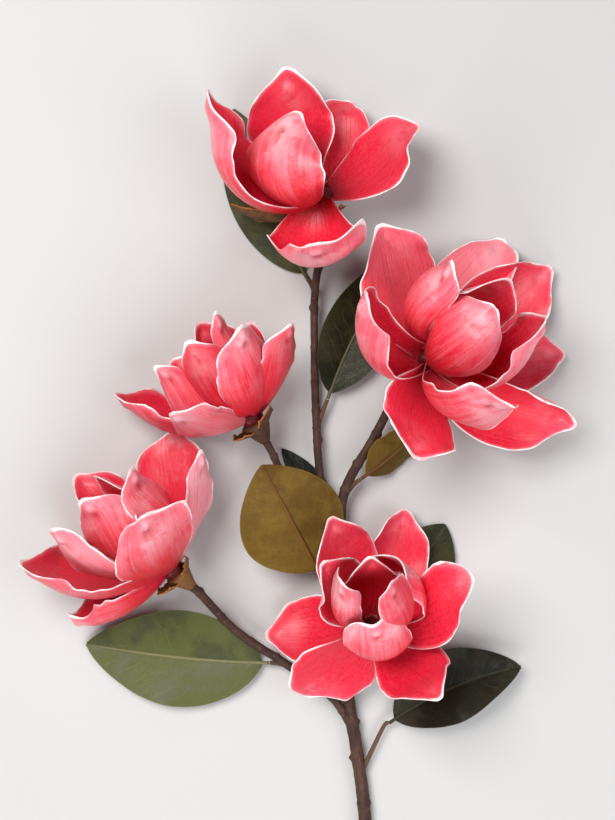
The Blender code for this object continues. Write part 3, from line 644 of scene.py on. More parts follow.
def makeBloom(name, bloom, material, seed):
    store = newStore()
    across, along = gridSpots(petalLook["cells"])
    for i, row in enumerate(bloom["petals"]):
        facts = petalFacts(bloom, row[0], petalRow(row), seed + i)
        sheet, knob = petalSheet(bloom, facts, across, along)
        sheet = softFloor(sheet, facts["thickness"])
        tip = facts["tipWhite"] * hump(across, facts["tipWidth"]) * rise(along, *facts["tipRise"])
        # the mask of the painted highlight round the tip, and on the two sides of a blunt tip
        crown = nearKnob(facts, across, along, facts["crownSize"], facts["crownDrop"])
        lobes = hump(np.abs(across) - facts["lobeAt"], facts["lobeWidth"]) * rise(along, *facts["lobeRise"])
        bladeSolid(
            store, sheet, across, along, petalEdge(facts, across, along), facts["thickness"],
            knob=knob, tip=tip, crown=facts["satin"] * crown + facts["lobes"] * lobes,
            tone=facts["seed"], depth=facts["depth"], whorl=0.0,
        )
    turnedSolid(
        store, axisPlacer(bloom), receptacle["profile"], receptacle["sides"],
        face=0.0, edge=noEdge, knob=0.0, tip=0.0, crown=0.0, tone=1.0, depth=0.0, whorl=1.0,
    )
    return makePiece("petals_" + name, store, material, "bloom_" + name)


calyxLook = {
    "profile": ((-18.0, 3.7), (-13.0, 5.2), (-7.5, 7.0), (-3.2, 8.0), (-1.35, 6.5)),
    "sides": 28,
    "rows": 16,
    # ridges down the cup: how many, how high, and how far they turn with height
    "ribs": (5.0, 0.045, 0.12),
    "fineRibs": (11.0, 0.02, 0.6),
}

bractLook = {
    "thickness": 1.1,
    "cells": (12, 18),
    "cup": 45.0,
    "claw": 0.75,
    "flick": -10.0,
    "bowl": 1.0,
    "twist": 0.0,
    "sway": 0.0,
    "ruffle": 1.2,
    "knob": 0.0,
}
bractPhase = 97.0  # the waves of a bract's edge start at its azimuth over this


def makeCalyx(name, bloom, material, seed):
    store = newStore()
    rng = np.random.default_rng(seed)
    place = axisPlacer(bloom)
    foot = calyxLook["profile"][0][1]
    rows = evenRows(calyxLook["profile"], calyxLook["rows"])
    profile = [(height, foot + (radius - foot) * bloom["cup"]) for height, radius in rows]
    phase = rng.uniform(*anyPhase)
    count, high, slant = calyxLook["ribs"]
    fineCount, fineHigh, fineSlant = calyxLook["fineRibs"]

    def ridged(turn, height, radius):
        wobble = 1.0 + high * math.sin(count * turn + phase + slant * height)
        wobble += fineHigh * math.sin(fineCount * turn + fineSlant * height)
        return place(turn, height, radius * wobble)

    turnedSolid(store, ridged, profile, calyxLook["sides"], face=1.0, edge=noEdge, tone=phase)
    across, along = gridSpots(bractLook["cells"])
    for i, bract in enumerate(bloom["bracts"]):
        own = {**bractLook, **dict(zip(bractColumns, bract)), "phase": bract[0] / bractPhase}
        facts = petalFacts(bloom, "bract", own, seed + 1 + i)
        sheet, _ = petalSheet(bloom, facts, across, along)
        edge = petalEdge(facts, across, along)
        bladeSolid(store, sheet, across, along, edge, facts["thickness"], tone=facts["seed"])
    return makePiece("cup_" + name, store, material, "calyx_" + name)


coneLook = {
    "profile": ((9.35, 5.0), (16.0, 5.4), (24.0, 4.0), (30.0, 1.4)),
    "rows": 26,
    "sides": 42,
    "scales": 7.0,  # round the cone in one row of scales
    "scaleRow": 3.2,
    "scaleHigh": 0.10,
}

stamenLook = {
    "count": 22,
    "length": (8.0, 11.0),
    "lean": (14.0, 30.0),
    "jitter": 0.3,
    "foot": (1.0, 4.4),  # up from the cone's foot and out from its axis
    "bend": 0.9,
    "radius": 0.75,
    "flat": 1.25,
    "sides": 7,
    "profile": ((0.0, 0.55), (0.25, 0.6), (0.55, 1.0), (0.9, 0.95), (1.0, 0.3)),
}


def makeCone(name, bloom, material, seed):
    store = newStore()
    place = axisPlacer(bloom)
    size, foot = bloom["heart"], coneLook["profile"][0][0]
    rows = evenRows(coneLook["profile"], coneLook["rows"])
    profile = [(foot + (height - foot) * size, radius * size) for height, radius in rows]

    def scaly(turn, height, radius):
        row = (height - foot) / coneLook["scaleRow"] / size
        bump = math.cos(coneLook["scales"] * turn + math.pi * math.floor(row))
        bump *= math.sin(math.pi * (row % 1.0))
        return place(turn, height, radius * (1.0 + coneLook["scaleHigh"] * bump))

    turnedSolid(store, scaly, profile, coneLook["sides"], face=0.0, edge=noEdge, tone=0.0)
    addStamens(store, bloom, size, foot, np.random.default_rng(seed))
    return makePiece("heart_" + name, store, material, "cone_" + name)


def addStamens(store, bloom, size, foot, rng):
    look = stamenLook
    axis, upward, right = bloomAxes(bloom)
    rings, sides = look["profile"], look["sides"]
    for i in range(look["count"]):
        turn = fullTurn * (i + rng.uniform(-look["jitter"], look["jitter"])) / look["count"]
        lean = math.radians(rng.uniform(*look["lean"]))
        length = rng.uniform(*look["length"]) * size
        radial = upward * math.cos(turn) + right * math.sin(turn)
        side = np.cross(radial, axis)
        start = np.array(bloom["base"]) + axis * (foot + look["foot"][0]) + radial * look["foot"][1] * size
        along = axis * math.cos(lean) + radial * math.sin(lean)
        across = unit(np.cross(along, side))
        verts, uv = [], []
        for share, thick in rings:
            middle = start + along * length * share + radial * look["bend"] * share**2
            for k in range(sides):
                a = fullTurn * k / sides
                outwards = side * math.cos(a) * look["flat"] + across * math.sin(a)
                verts.append(inMetres(middle + outwards * look["radius"] * size * thick))
                uv.append((k / sides, share))
        faces = ringFaces(len(rings), sides) + flatCaps(len(rings), sides)
        addTo(store, verts, faces, uv, face=1.0, edge=noEdge, tone=rng.uniform(*anyTone))


# where each leaf's blade starts, its heading, rise, length, width, sag, turn, roll, fold and wave height
leafColumns = ("start", "heading", "rise", "length", "width", "sag", "turn", "roll", "fold", "wave")
leaves = {
    "behind_top": ((-3.0, 99.0, 2.4), 122, -1, 128.0, 50.0, -1, -18, -1, 3, 0.8),
    "behind_right": ((16.0, 12.5, 10.0), 70, 1, 108.0, 50.0, 3, -16, 8, 12, 2.0),
    "ochre_broad": ((7.0, -113.0, 19.0), 116, 24, 86.0, 76.0, 44, 4, 8, -6, 2.5),
    "dark_edge": ((20.5, -76.0, 4.2), 128, -1, 62.0, 20.0, 0, 2, 8, 6, 0.8),
    "ochre_small": ((42.0, -46.0, 16.0), 36, 4, 56.0, 34.0, 6, 10, 38, -12, 1.5),
    "green_large": ((-32.5, -181.0, 5.8), 179, -2, 127.0, 69.0, -2, -10, 0, 7, 1.8),
    "dark_right": ((62.5, -221.0, 8.0), 36, 5, 98.0, 52.0, 4, -26, -22, 12, 3.0),
    "dark_small": ((66.0, -136.0, 3.4), 58, 0, 63.0, 48.0, 0, 2, 3, 5, 1.0),
}

leafLook = {
    "thickness": 0.7,
    "cells": (28, 64),
    "lineSteps": 80,
    # the outline is a sine to a power, skewed a little towards the foot
    "skew": 0.88,
    "fullness": 0.72,
    "least": 0.05,
    "waves": 1.6,
    "waveShift": 0.35,
    "fineWaves": 5.3,
    "fineHigh": 0.35,
    # the blade puffs up between its side veins: how many puffs, their slant and their shift
    "puffs": (9.0, 1.7, 0.15),
    "puffHigh": 0.16,
    "puffFrom": 0.15,
    "groove": (0.45, 0.05),  # depth and width of the dip along the midrib
    "stalk": (-5.0, -2.5),
    "ribTo": 0.97,
    "ribSpots": 40,
    "ribSides": 10,
    "ribRadius": (1.3, 0.35),
    "ribTaper": 0.8,
    "ribStart": 8.0,  # over this length the rib comes to its own height
    "ribHeight": {"leaf": -0.55, "ochre_leaf": 0.7},
}


def leafLine(leaf):
    # the midrib's points and, at each of them, the directions along, across and up
    steps = leafLook["lineSteps"]
    t = np.linspace(0.0, 1.0, steps + 1)
    h, r = np.radians(leaf["heading"] + leaf["turn"] * t), np.radians(leaf["rise"] - leaf["sag"] * t)
    along = np.stack([np.cos(h) * np.cos(r), np.sin(h) * np.cos(r), np.sin(r)], axis=-1)
    level = np.stack([-np.sin(h), np.cos(h), np.zeros_like(h)], axis=-1)
    normal = np.cross(along, level)
    tilt = math.radians(leaf["roll"])
    sideways = level * math.cos(tilt) + normal * math.sin(tilt)
    upwards = normal * math.cos(tilt) - level * math.sin(tilt)
    run = np.concatenate([[np.zeros(3)], np.cumsum(along[:-1] * leaf["length"] / steps, axis=0)])
    return t, np.array(leaf["start"]) + run, along, sideways, upwards


def lineAt(t, values, along):
    return np.stack([np.interp(along, t, values[:, k]) for k in range(3)], axis=-1)


def leafLift(leaf, across, along, share, half, finePhase):
    # how far each spot of the blade lies above its flat form
    look, sides = leafLook, np.abs(across)
    lift = sides * half * math.sin(math.radians(leaf["fold"]))
    hand = np.where(across < 0.0, 0.0, look["waveShift"])
    lift += leaf["wave"] * wave(look["waves"] * along + hand) * across**2 * share
    lift += look["fineHigh"] * wave(look["fineWaves"] * along + hand * 2.0 + finePhase) * sides**4 * share
    count, slant, shift = look["puffs"]
    puffs = 0.5 - 0.5 * np.cos(fullTurn * (along * count - sides * slant * share + shift))
    lift += look["puffHigh"] * puffs * (1.0 - sides**3) * rise(sides, 0.0, look["puffFrom"])
    return lift - look["groove"][0] * hump(across, look["groove"][1])


def makeLeaf(name, row, material, seed):
    store = newStore()
    rng = np.random.default_rng(seed)
    leaf, look = dict(zip(leafColumns, row)), leafLook
    slotName = "ochre_leaf" if name.startswith("ochre") else "leaf"
    t, points, direction, sideways, upwards = leafLine(leaf)
    across, along = gridSpots(look["cells"])
    share = np.maximum(np.sin(math.pi * along ** look["skew"]) ** look["fullness"], look["least"])
    half = 0.5 * leaf["width"] * share
    lift = leafLift(leaf, across, along, share, half, rng.uniform(0.0, 1.0))
    flat = across * half * math.cos(math.radians(leaf["fold"]))
    sheet = lineAt(t, points, along) + lineAt(t, sideways, along) * flat[..., None]
    sheet = softFloor(inMetres(sheet + lineAt(t, upwards, along) * lift[..., None]), look["thickness"])
    edge = np.minimum((1.0 - np.abs(across)) * half, (1.0 - along) * leaf["length"] * 0.5)
    bladeSolid(store, sheet, across, along, edge, look["thickness"], tone=rng.uniform(*anyTone), rib=0.0)
    # the midrib, which stands out of the blade as its stalk
    rib = [(*(points[0] + direction[0] * s), look["ribRadius"][0]) for s in look["stalk"]]
    for share in np.linspace(0.0, look["ribTo"], look["ribSpots"]):
        sunk = look["ribHeight"][slotName] * min(share * leaf["length"] / look["ribStart"], 1.0)
        spot = lineAt(t, points, share) + lineAt(t, upwards, share) * sunk
        radius = look["ribRadius"][0] * (1.0 - share) ** look["ribTaper"] + look["ribRadius"][1] * share
        rib.append((*spot, radius))
    addTube(store, np.array(rib), look["ribSides"], face=0.0, edge=noEdge, tone=0.0, rib=1.0)
    return makePiece("blade_" + name, store, material, "leaf_" + name)


# where each branch runs from the stem to its bloom, with its radius
stemRuns = {
    "right": (
        (44.0, -384.0, 4.5, 4.8), (41.0, -292.0, 5.6, 4.6), (35.0, -243.0, 6.4, 4.5),
        (32.0, -224.0, 7.0, 4.6), (27.5, -190.0, 8.4, 4.1), (24.5, -140.0, 10.0, 3.9),
        (23.5, -90.0, 12.0, 3.7), (27.0, -56.0, 14.0, 3.5), (48.0, -18.0, 17.0, 3.2),
        (61.0, 8.0, 20.0, 3.1),
    ),
    "top": (
        (24.0, -112.0, 11.0, 2.6), (13.0, -72.0, 10.0, 2.8), (8.0, -37.0, 10.0, 2.9),
        (6.0, 0.0, 10.0, 2.9), (5.0, 40.0, 10.5, 2.8), (6.0, 92.0, 13.0, 2.8),
    ),
    "far_left": (
        (24.0, -128.0, 10.5, 2.5), (4.0, -88.0, 9.5, 2.6), (-16.0, -50.0, 12.0, 2.6),
    ),
    "left": (
        (32.0, -226.0, 7.0, 2.8), (16.0, -204.0, 7.0, 3.0), (-16.0, -181.0, 9.0, 3.0),
        (-50.0, -158.0, 12.0, 3.0),
    ),
    "front": (
        (27.5, -192.0, 8.4, 2.4), (36.0, -178.0, 13.0, 2.8),
    ),
}

# where each leaf's stalk leaves its branch
petioles = {
    "behind_top": (5.5, 84.0, 12.5),
    "behind_right": (5.6, -14.0, 9.2),
    "ochre_broad": (24.4, -138.0, 10.0),
    "dark_edge": (24.0, -96.0, 11.8),
    "ochre_small": (26.5, -60.0, 13.8),
    "green_large": (-15.0, -181.5, 8.9),
    "dark_right": (37.5, -262.0, 6.1),
    "dark_small": (24.6, -146.0, 9.8),
}

stemLook = {
    "sides": 26,
    "smooth": 10,
    "step": 1.1,  # between rings of the mesh
    "beforeCup": 8.0,
    "flare": (0.35, 9.0),  # a branch is thicker where it leaves the main stem
    "cupFlare": (0.16, 4.0),
    # rings where leaves once stood, with a groove beyond each and a bud on one side
    "firstNode": (6.0, 16.0),
    "nodeGap": (20.0, 34.0),
    "nodeTurn": 2.4,
    "nodeEnd": 4.0,
    "nodeReach": 9.0,
    "nodeSwell": (0.13, 1.5),
    "groove": (0.05, 1.0, 2.6),
    "budSwell": 0.34,
    "budAt": 1.2,
    "budWide": 0.55,
    "budLong": (2.6, 1.5),
    # shallow bumps all over: their count round the stem, slant, count along it and share of the height
    "bump": 0.035,
    "bumps": ((3.0, 0.21, 0.33, 1.0), (5.0, -0.4, 0.61, 0.7)),
}

petioleLook = {
    "sides": 14,
    "smooth": 8,
    "step": 1.0,
    "radii": (1.9, 1.5, 1.45),
    "gap": 0.35,  # between the petiole and the leaf's own stalk
    "straight": 5.0,
    "flare": (0.5, 4.0),
    "barkEnd": 14.0,  # over this length the bark gives way to the stalk's colour
}


def smoothRun(rows, steps):
    # a curve through all the rows
    rows = np.array(rows, float)
    ends = np.vstack([2.0 * rows[0] - rows[1], rows, 2.0 * rows[-1] - rows[-2]])
    run = []
    for i in range(len(rows) - 1):
        a, b, c, d = ends[i : i + 4]
        for t in np.arange(steps) / steps:
            bend = (2 * a - 5 * b + 4 * c - d) * t**2 + (3 * b - a - 3 * c + d) * t**3
            run.append(0.5 * (2 * b + (c - a) * t + bend))
    run.append(rows[-1])
    return np.array(run)


def evenly(run, step):
    # the same run with a row every step, and how far along it each row lies
    far = distances(run[:, :3])
    at = np.linspace(0.0, far[-1], max(int(far[-1] / step), 2) + 1)
    run = np.stack([np.interp(at, far, run[:, k]) for k in range(run.shape[1])], axis=-1)
    return run, distances(run[:, :3])


def flared(far, flare):
    # how much thicker a branch is this far from its end
    more, over = flare
    return 1.0 + more * np.exp(-far / over)


def barkSwell(length, rng):
    look = stemLook
    nodes = []
    s = rng.uniform(*look["firstNode"])
    turn = rng.uniform(*anyPhase)
    while s < length - look["nodeEnd"]:
        nodes.append((s, turn))
        s += rng.uniform(*look["nodeGap"])
        turn += look["nodeTurn"]
    phases = rng.uniform(*anyPhase, 4).reshape(2, 2)

    def swell(at, turns):
        reach = np.ones_like(turns)
        for s, turn in nodes:
            away = at - s
            if abs(away) > look["nodeReach"]:
                continue
            apart = (turns - turn + math.pi) % fullTurn - math.pi
            lean = away - look["budAt"]
            bud = hump(apart, look["budWide"]) * hump(lean, look["budLong"][0 if lean < 0.0 else 1])
            high, wide = look["nodeSwell"]
            deep, narrow, beyond = look["groove"]
            reach += high * hump(away, wide) - deep * hump(away - beyond, narrow) + look["budSwell"] * bud
        for (count, slant, along, share), (one, two) in zip(look["bumps"], phases):
            bump = np.sin(count * turns + slant * at + one) * math.sin(along * at + two)
            reach += look["bump"] * share * bump
        return reach

    return swell


def makeStem(material, seed):
    store = newStore()
    rng = np.random.default_rng(seed)
    for name, points in stemRuns.items():
        axis, _, _ = bloomAxes(blooms[name])
        base, radius = np.array(blooms[name]["base"]), points[-1][3]
        before = (*(base + axis * (twigEnd - stemLook["beforeCup"])), radius)
        cup = (*(base + axis * twigEnd), radius)
        run = np.vstack([smoothRun([*points, before], stemLook["smooth"]), cup])
        run, far = evenly(run, stemLook["step"])
        if name != "right":  # this run is the main stem itself
            run[:, 3] *= flared(far, stemLook["flare"])
        run[:, 3] *= flared(far[-1] - far, stemLook["cupFlare"])
        swell = barkSwell(far[-1], rng)
        addTube(store, run, stemLook["sides"], swell, tone=rng.uniform(*anyTone), stalk=0.0)
    look = petioleLook
    for name, start in petioles.items():
        _, points, direction, _, _ = leafLine(dict(zip(leafColumns, leaves[name])))
        end = points[0] + direction[0] * (leafLook["stalk"][0] - look["gap"])
        spots = (start, end - direction[0] * look["straight"], end)
        rows = [(*spot, radius) for spot, radius in zip(spots, look["radii"])]
        run, far = evenly(smoothRun(rows, look["smooth"]), look["step"])
        run[:, 3] *= flared(far, look["flare"])
        stalk = np.repeat(rise(far, 0.0, look["barkEnd"]), look["sides"])
        addTube(store, run, look["sides"], tone=rng.uniform(*anyTone), stalk=stalk)
    return makePiece("wood", store, material, "stem")


def fill(tree, made, inputs):
    # a value is a number, or the output of another node
    for name, value in inputs.items():
        if isinstance(value, bpy.types.NodeSocket):
            tree.links.new(value, made.inputs[name])
        else:
            made.inputs[name].default_value = value


def put(tree, kind, inputs, **settings):
    made = tree.nodes.new("ShaderNode" + kind)
    for name, value in settings.items():
        setattr(made, name, value)
    fill(tree, made, inputs)
    return made


def useGroup(tree, group, inputs):
    return put(tree, "Group", inputs, node_tree=group).outputs[0]


def calc(tree, operation, a, b=0.0):
    return put(tree, "Math", {0: a, 1: b}, operation=operation).outputs[0]


def plus(tree, a, b):
    return calc(tree, "ADD", a, b)


def less(tree, a, b):
    return calc(tree, "SUBTRACT", a, b)


def times(tree, a, b):
    return calc(tree, "MULTIPLY", a, b)


def positive(tree, value):
    return calc(tree, "MAXIMUM", value, 0.0)


def weightedSum(tree, weights, **parts):
    # each part times its weight, all added up
    total = 0.0
    for name, weight in weights.items():
        total = plus(tree, total, times(tree, parts[name], weight))
    return total


def spread(tree, value, low, high, outLow=0.0, outHigh=1.0):
    # a smooth rise from outLow to outHigh as value goes from low to high
    inputs = {0: value, 1: low, 2: high, 3: outLow, 4: outHigh}
    return put(tree, "MapRange", inputs, interpolation_type="SMOOTHSTEP").outputs[0]


def fall(tree, value, low, high):
    return spread(tree, value, low, high, 1.0, 0.0)


def rgba(colour):
    return colour if isinstance(colour, bpy.types.NodeSocket) else (*colour, 1.0)


def blendColour(tree, factor, a, b):
    return put(tree, "Mix", {0: factor, 6: rgba(a), 7: rgba(b)}, data_type="RGBA").outputs[2]


def tint(tree, colour, over, mask, strength=1.0):
    # lays a second colour over the first where the mask is
    return blendColour(tree, times(tree, mask, strength), colour, over)


def colourRamp(tree, factor, look, stops):
    made = put(tree, "ValToRGB", {0: factor})
    points = made.color_ramp.elements
    while len(points) < len(stops):
        points.new(0.5)
    for point, (place, name) in zip(points, stops):
        point.position = place
        point.color = rgba(look[name])
    return made.outputs[0]


def noiseAt(tree, spot, scale=1.0, detail=2.0, roughness=0.5):
    inputs = {"Vector": spot, "Scale": scale, "Detail": detail, "Roughness": roughness}
    return put(tree, "TexNoise", inputs).outputs["Fac"]


def mark(tree, name):
    return put(tree, "Attribute", {}, attribute_name=name).outputs["Fac"]


def bladeMap(tree):
    # the map over a blade, and its parts across and along
    uvMap = put(tree, "UVMap", {}, uv_map="bladeMap").outputs[0]
    across, along, _ = put(tree, "SeparateXYZ", {0: uvMap}).outputs
    return uvMap, across, along


def objectSpot(tree):
    return put(tree, "TexCoord", {}).outputs["Object"]


def newGroup(name, inputs, output):
    # an input without a number of its own is a vector
    tree = bpy.data.node_groups.new(name, "ShaderNodeTree")
    for label, value in inputs.items():
        kind = "NodeSocketVector" if value is None else "NodeSocketFloat"
        made = tree.interface.new_socket(name=label, in_out="INPUT", socket_type=kind)
        if value is not None:
            made.default_value = value
    tree.interface.new_socket(name=output, in_out="OUTPUT", socket_type="NodeSocketFloat")
    return tree, tree.nodes.new("NodeGroupInput").outputs, tree.nodes.new("NodeGroupOutput").inputs[output]


def stretchedSpot(tree, given, x, y):
    # the blade's map, stretched, with a place of its own for every seed
    x, y = times(tree, x, given["Across"]), times(tree, y, given["Along"])
    return put(tree, "CombineXYZ", {0: x, 1: y, 2: given["Seed"]}).outputs[0]


# fine lines that run along a blade and fan out with it
def buildFibreLines():
    inputs = {"Map": None, "Seed": 0.0, "Across": 30.0, "Along": 1.2, "Sharpness": 0.5}
    tree, given, made = newGroup("fibreLines", inputs, "Lines")
    lowShare, highShare, wanderFar = 0.5, 0.38, 0.035
    parts = put(tree, "SeparateXYZ", {0: given["Map"]}).outputs
    wander = less(tree, noiseAt(tree, given["Map"], scale=5.0, detail=1.0), 0.5)
    x = plus(tree, parts[0], times(tree, wander, wanderFar))
    noise = noiseAt(tree, stretchedSpot(tree, given, x, parts[1]), roughness=0.6)
    low = times(tree, given["Sharpness"], lowShare)
    high = less(tree, 1.0, times(tree, given["Sharpness"], highShare))
    tree.links.new(spread(tree, noise, low, high), made)
    return tree


# thin wandering lines that run the length of a blade, as veins do
def buildVeinLines():
    inputs = {"Map": None, "Seed": 0.0, "Across": 12.0, "Along": 0.8, "Width": 0.03}
    tree, given, made = newGroup("veinLines", inputs, "Lines")
    linesPerStep = 3.0
    parts = put(tree, "SeparateXYZ", {0: given["Map"]}).outputs
    noise = noiseAt(tree, stretchedSpot(tree, given, parts[0], parts[1]), detail=1.5, roughness=0.55)
    away = calc(tree, "ABSOLUTE", less(tree, calc(tree, "FRACT", times(tree, noise, linesPerStep)), 0.5))
    tree.links.new(fall(tree, away, 0.0, given["Width"]), made)
    return tree


# soft cloudy patches, as in watercolour
def buildClouding():
    inputs = {"Spot": None, "Scale": 60.0, "Seed": 0.0, "Contrast": 0.5}
    tree, given, made = newGroup("clouding", inputs, "Value")
    lowShare = 0.6
    shift = put(tree, "CombineXYZ", {0: given["Seed"]}).outputs[0]
    spot = put(tree, "VectorMath", {0: given["Spot"], 1: shift}, operation="ADD").outputs[0]
    low = times(tree, given["Contrast"], lowShare)
    noise = noiseAt(tree, spot, given["Scale"], detail=4.0, roughness=0.6)
    tree.links.new(spread(tree, noise, low, less(tree, 1.0, low)), made)
    return tree


# a band along a blade's edge, with a slightly uneven inner side
def buildEdgeBand():
    inputs = {"Distance": 5.0, "Width": 1.2, "Softness": 0.4, "Wander": 0.5, "Spot": None}
    tree, given, made = newGroup("edgeBand", inputs, "Mask")
    noise = noiseAt(tree, given["Spot"], scale=140.0)
    width = plus(tree, given["Width"], times(tree, less(tree, noise, 0.5), given["Wander"]))
    away = calc(tree, "DIVIDE", less(tree, width, given["Distance"]), given["Softness"])
    tree.links.new(spread(tree, away, -1.0, 1.0), made)
    return tree


fibreLines = buildFibreLines()
veinLines = buildVeinLines()
clouding = buildClouding()
edgeBand = buildEdgeBand()
print("shared effects built")


def newMaterial(name):
    material = bpy.data.materials.new(name)
    material.use_nodes = True
    return material, material.node_tree


def finishSurface(tree, look, colour, rough, height):
    distance, strength = look["bump"]
    normal = put(tree, "Bump", {"Height": height, "Distance": distance, "Strength": strength}).outputs[0]
    inputs = {"Base Color": colour, "Roughness": rough, "Normal": normal, **look["shader"]}
    fill(tree, tree.nodes["Principled BSDF"], inputs)


# in each finish a rise is a range of what drives it and then the range that it gives
petalFinish = {
    # the foot colours are darker and the outer tip colour paler: partly the petals' own colour, partly
    # painted shade in the bloom's hollow and painted light on the tips
    "innerFoot": (0.34, 0.001, 0.006),
    "inner": (0.76, 0.006, 0.036),
    "innerTip": (0.86, 0.024, 0.068),
    "outerFoot": (0.44, 0.002, 0.014),
    "outerLow": (0.74, 0.004, 0.022),
    "outer": (0.85, 0.022, 0.060),
    "outerTip": (0.91, 0.070, 0.130),
    "pale": (0.97, 0.50, 0.57),
    # the colour of the painted highlight round the tips
    "satin": (0.98, 0.62, 0.66),
    "dark": (0.42, 0.0015, 0.013),
    # the colour of a whole petal's painted shade
    "deep": (0.60, 0.006, 0.026),
    # painted shade: the receptacle is darkened to the shade in the bloom's hollow
    "receptacle": (0.13, 0.006, 0.008),
    "rim": (0.96, 0.88, 0.87),
    "innerStops": ((0.0, "innerFoot"), (0.20, "inner"), (0.72, "inner"), (1.0, "innerTip")),
    "outerStops": ((0.04, "outerFoot"), (0.40, "outerLow"), (0.72, "outer"), (1.0, "outerTip")),
    "streaks": {"Across": 20.0, "Along": 1.4, "Sharpness": 0.66},
    "streakRise": (0.12, 0.80, 0.0, 0.28),
    "innerStreaks": 0.22,
    "dashes": {"Across": 110.0, "Along": 16.0, "Sharpness": 0.6},
    "dashStrength": 0.16,
    "veins": {"Across": 9.0, "Along": 0.9, "Width": 0.11},
    "veinRise": (0.30, 0.95, 0.42, 0.14),
    "innerVeins": 0.16,
    "clouds": {"Scale": 34.0, "Contrast": 0.62},
    "cloudRise": (0.25, 0.80, 0.0, 0.30),
    "innerCloudRise": (0.35, 1.0, 0.0, 0.24),
    "grain": {"Scale": 520.0, "Contrast": 0.55},
    "grainStrength": 0.05,
    "satinRise": (0.25, 0.75, 0.3, 1.0),
    "satinFaces": (0.0, 1.0, 0.14, 0.50),
    "knobFaces": (0.0, 1.0, 0.15, 0.70),
    "dimpleFaces": (0.0, 1.0, 0.20, 0.75),
    "rimWidth": 0.12,
    "rimMore": 0.75,
    "rimClouds": {"Scale": 42.0, "Contrast": 0.62},
    "rimRise": (0.04, 0.42, 0.10, 1.0),
    "rimGaps": (0.20, 0.62, 0.62, 1.0),
    "rimBand": {"Softness": 0.30, "Wander": 0.6},
    "softMore": 1.3,
    "softBand": {"Softness": 1.8, "Wander": 1.5},
    "softStrength": 0.26,
    "rough": 0.28,
    "roughGrain": 0.12,
    "relief": {"streaks": 0.5, "veins": -0.7, "grain": 0.22, "dashes": -0.2},
    "bump": (0.0003, 0.8),
    "shader": {
        "Specular IOR Level": 0.24,
        "Sheen Weight": 0.04,
        "Sheen Roughness": 0.4,
        "Sheen Tint": (1.0, 0.66, 0.70, 1.0),
        "Coat Weight": 0.12,
        "Coat Roughness": 0.26,
        "Subsurface Weight": 0.08,
        "Subsurface Radius": (1.0, 0.25, 0.25),
        "Subsurface Scale": 0.002,
    },
}


def makePetalMaterial():
    look = petalFinish
    material, tree = newMaterial("petal")
    uvMap, _, along = bladeMap(tree)
    spot = objectSpot(tree)
    face, edge, seed = mark(tree, "face"), mark(tree, "edge"), mark(tree, "tone")
    onBlade, inSpace = {"Map": uvMap, "Seed": seed}, {"Spot": spot, "Seed": seed}
    streaks = useGroup(tree, fibreLines, {**onBlade, **look["streaks"]})
    dashes = useGroup(tree, fibreLines, {**onBlade, **look["dashes"]})
    veins = useGroup(tree, veinLines, {**onBlade, **look["veins"]})
    clouds = useGroup(tree, clouding, {**inSpace, **look["clouds"]})
    grain = useGroup(tree, clouding, {**inSpace, **look["grain"]})
    # outer face: pale streaks and a pale cloud that fade towards the foot, under dark veins
    # darker towards the foot and paler towards the tip, partly painted shade and painted light
    outer = colourRamp(tree, along, look, look["outerStops"])
    outer = tint(tree, outer, look["pale"], streaks, spread(tree, along, *look["streakRise"]))
    outer = tint(tree, outer, look["pale"], clouds, spread(tree, along, *look["cloudRise"]))
    outer = tint(tree, outer, look["dark"], veins, spread(tree, along, *look["veinRise"]))
    # inner face: redder, with fainter veins and clouds
    # darker towards the foot, partly painted shade in the bloom's hollow
    inner = colourRamp(tree, along, look, look["innerStops"])
    inner = tint(tree, inner, look["innerTip"], streaks, look["innerStreaks"])
    inner = tint(tree, inner, look["dark"], veins, look["innerVeins"])
    inner = tint(tree, inner, look["outerTip"], clouds, spread(tree, along, *look["innerCloudRise"]))
    colour = blendColour(tree, face, inner, outer)
    colour = tint(tree, colour, look["dark"], dashes, look["dashStrength"])
    colour = tint(tree, colour, look["pale"], grain, look["grainStrength"])
    # painted highlight lies round the tip, and the knob there has a painted highlight over painted shade in
    # its dimple
    satin = times(tree, mark(tree, "crown"), spread(tree, clouds, *look["satinRise"]))
    colour = tint(tree, colour, look["satin"], satin, spread(tree, face, *look["satinFaces"]))
    # painted highlight where the knob bulges out, and painted shade in the dimple below it
    knob = positive(tree, mark(tree, "knob"))
    dimple = positive(tree, times(tree, mark(tree, "knob"), -1.0))
    colour = tint(tree, colour, look["pale"], knob, spread(tree, face, *look["knobFaces"]))
    colour = tint(tree, colour, look["dark"], dimple, spread(tree, face, *look["dimpleFaces"]))
    # painted shade deepens some petals as a whole, and painted light pales others
    depth = mark(tree, "depth")
    colour = tint(tree, colour, look["deep"], positive(tree, depth))
    colour = tint(tree, colour, look["pale"], positive(tree, times(tree, depth, -1.0)))
    # the white rim is the cut edge, and runs on to the faces here and there
    rimClouds = useGroup(tree, clouding, {**inSpace, **look["rimClouds"]})
    width = plus(tree, look["rimWidth"], times(tree, rimClouds, look["rimMore"]))
    width = plus(tree, mark(tree, "tip"), width)
    onEdge = {"Distance": edge, "Spot": spot}
    band = useGroup(tree, edgeBand, {**onEdge, **look["rimBand"], "Width": width})
    softWidth = plus(tree, width, look["softMore"])
    soft = useGroup(tree, edgeBand, {**onEdge, **look["softBand"], "Width": softWidth})
    upwards = spread(tree, along, *look["rimRise"])
    broken = times(tree, upwards, spread(tree, rimClouds, *look["rimGaps"]))
    colour = tint(tree, colour, look["pale"], soft, times(tree, upwards, look["softStrength"]))
    colour = tint(tree, colour, look["rim"], band, broken)
    # the receptacle that the petals grow from is painted dark, as painted shade in the bloom's hollow
    colour = tint(tree, colour, look["receptacle"], mark(tree, "whorl"))
    rough = plus(tree, times(tree, grain, look["roughGrain"]), look["rough"])
    height = weightedSum(tree, look["relief"], streaks=streaks, veins=veins, grain=grain, dashes=dashes)
    finishSurface(tree, look, colour, rough, height)
    return material


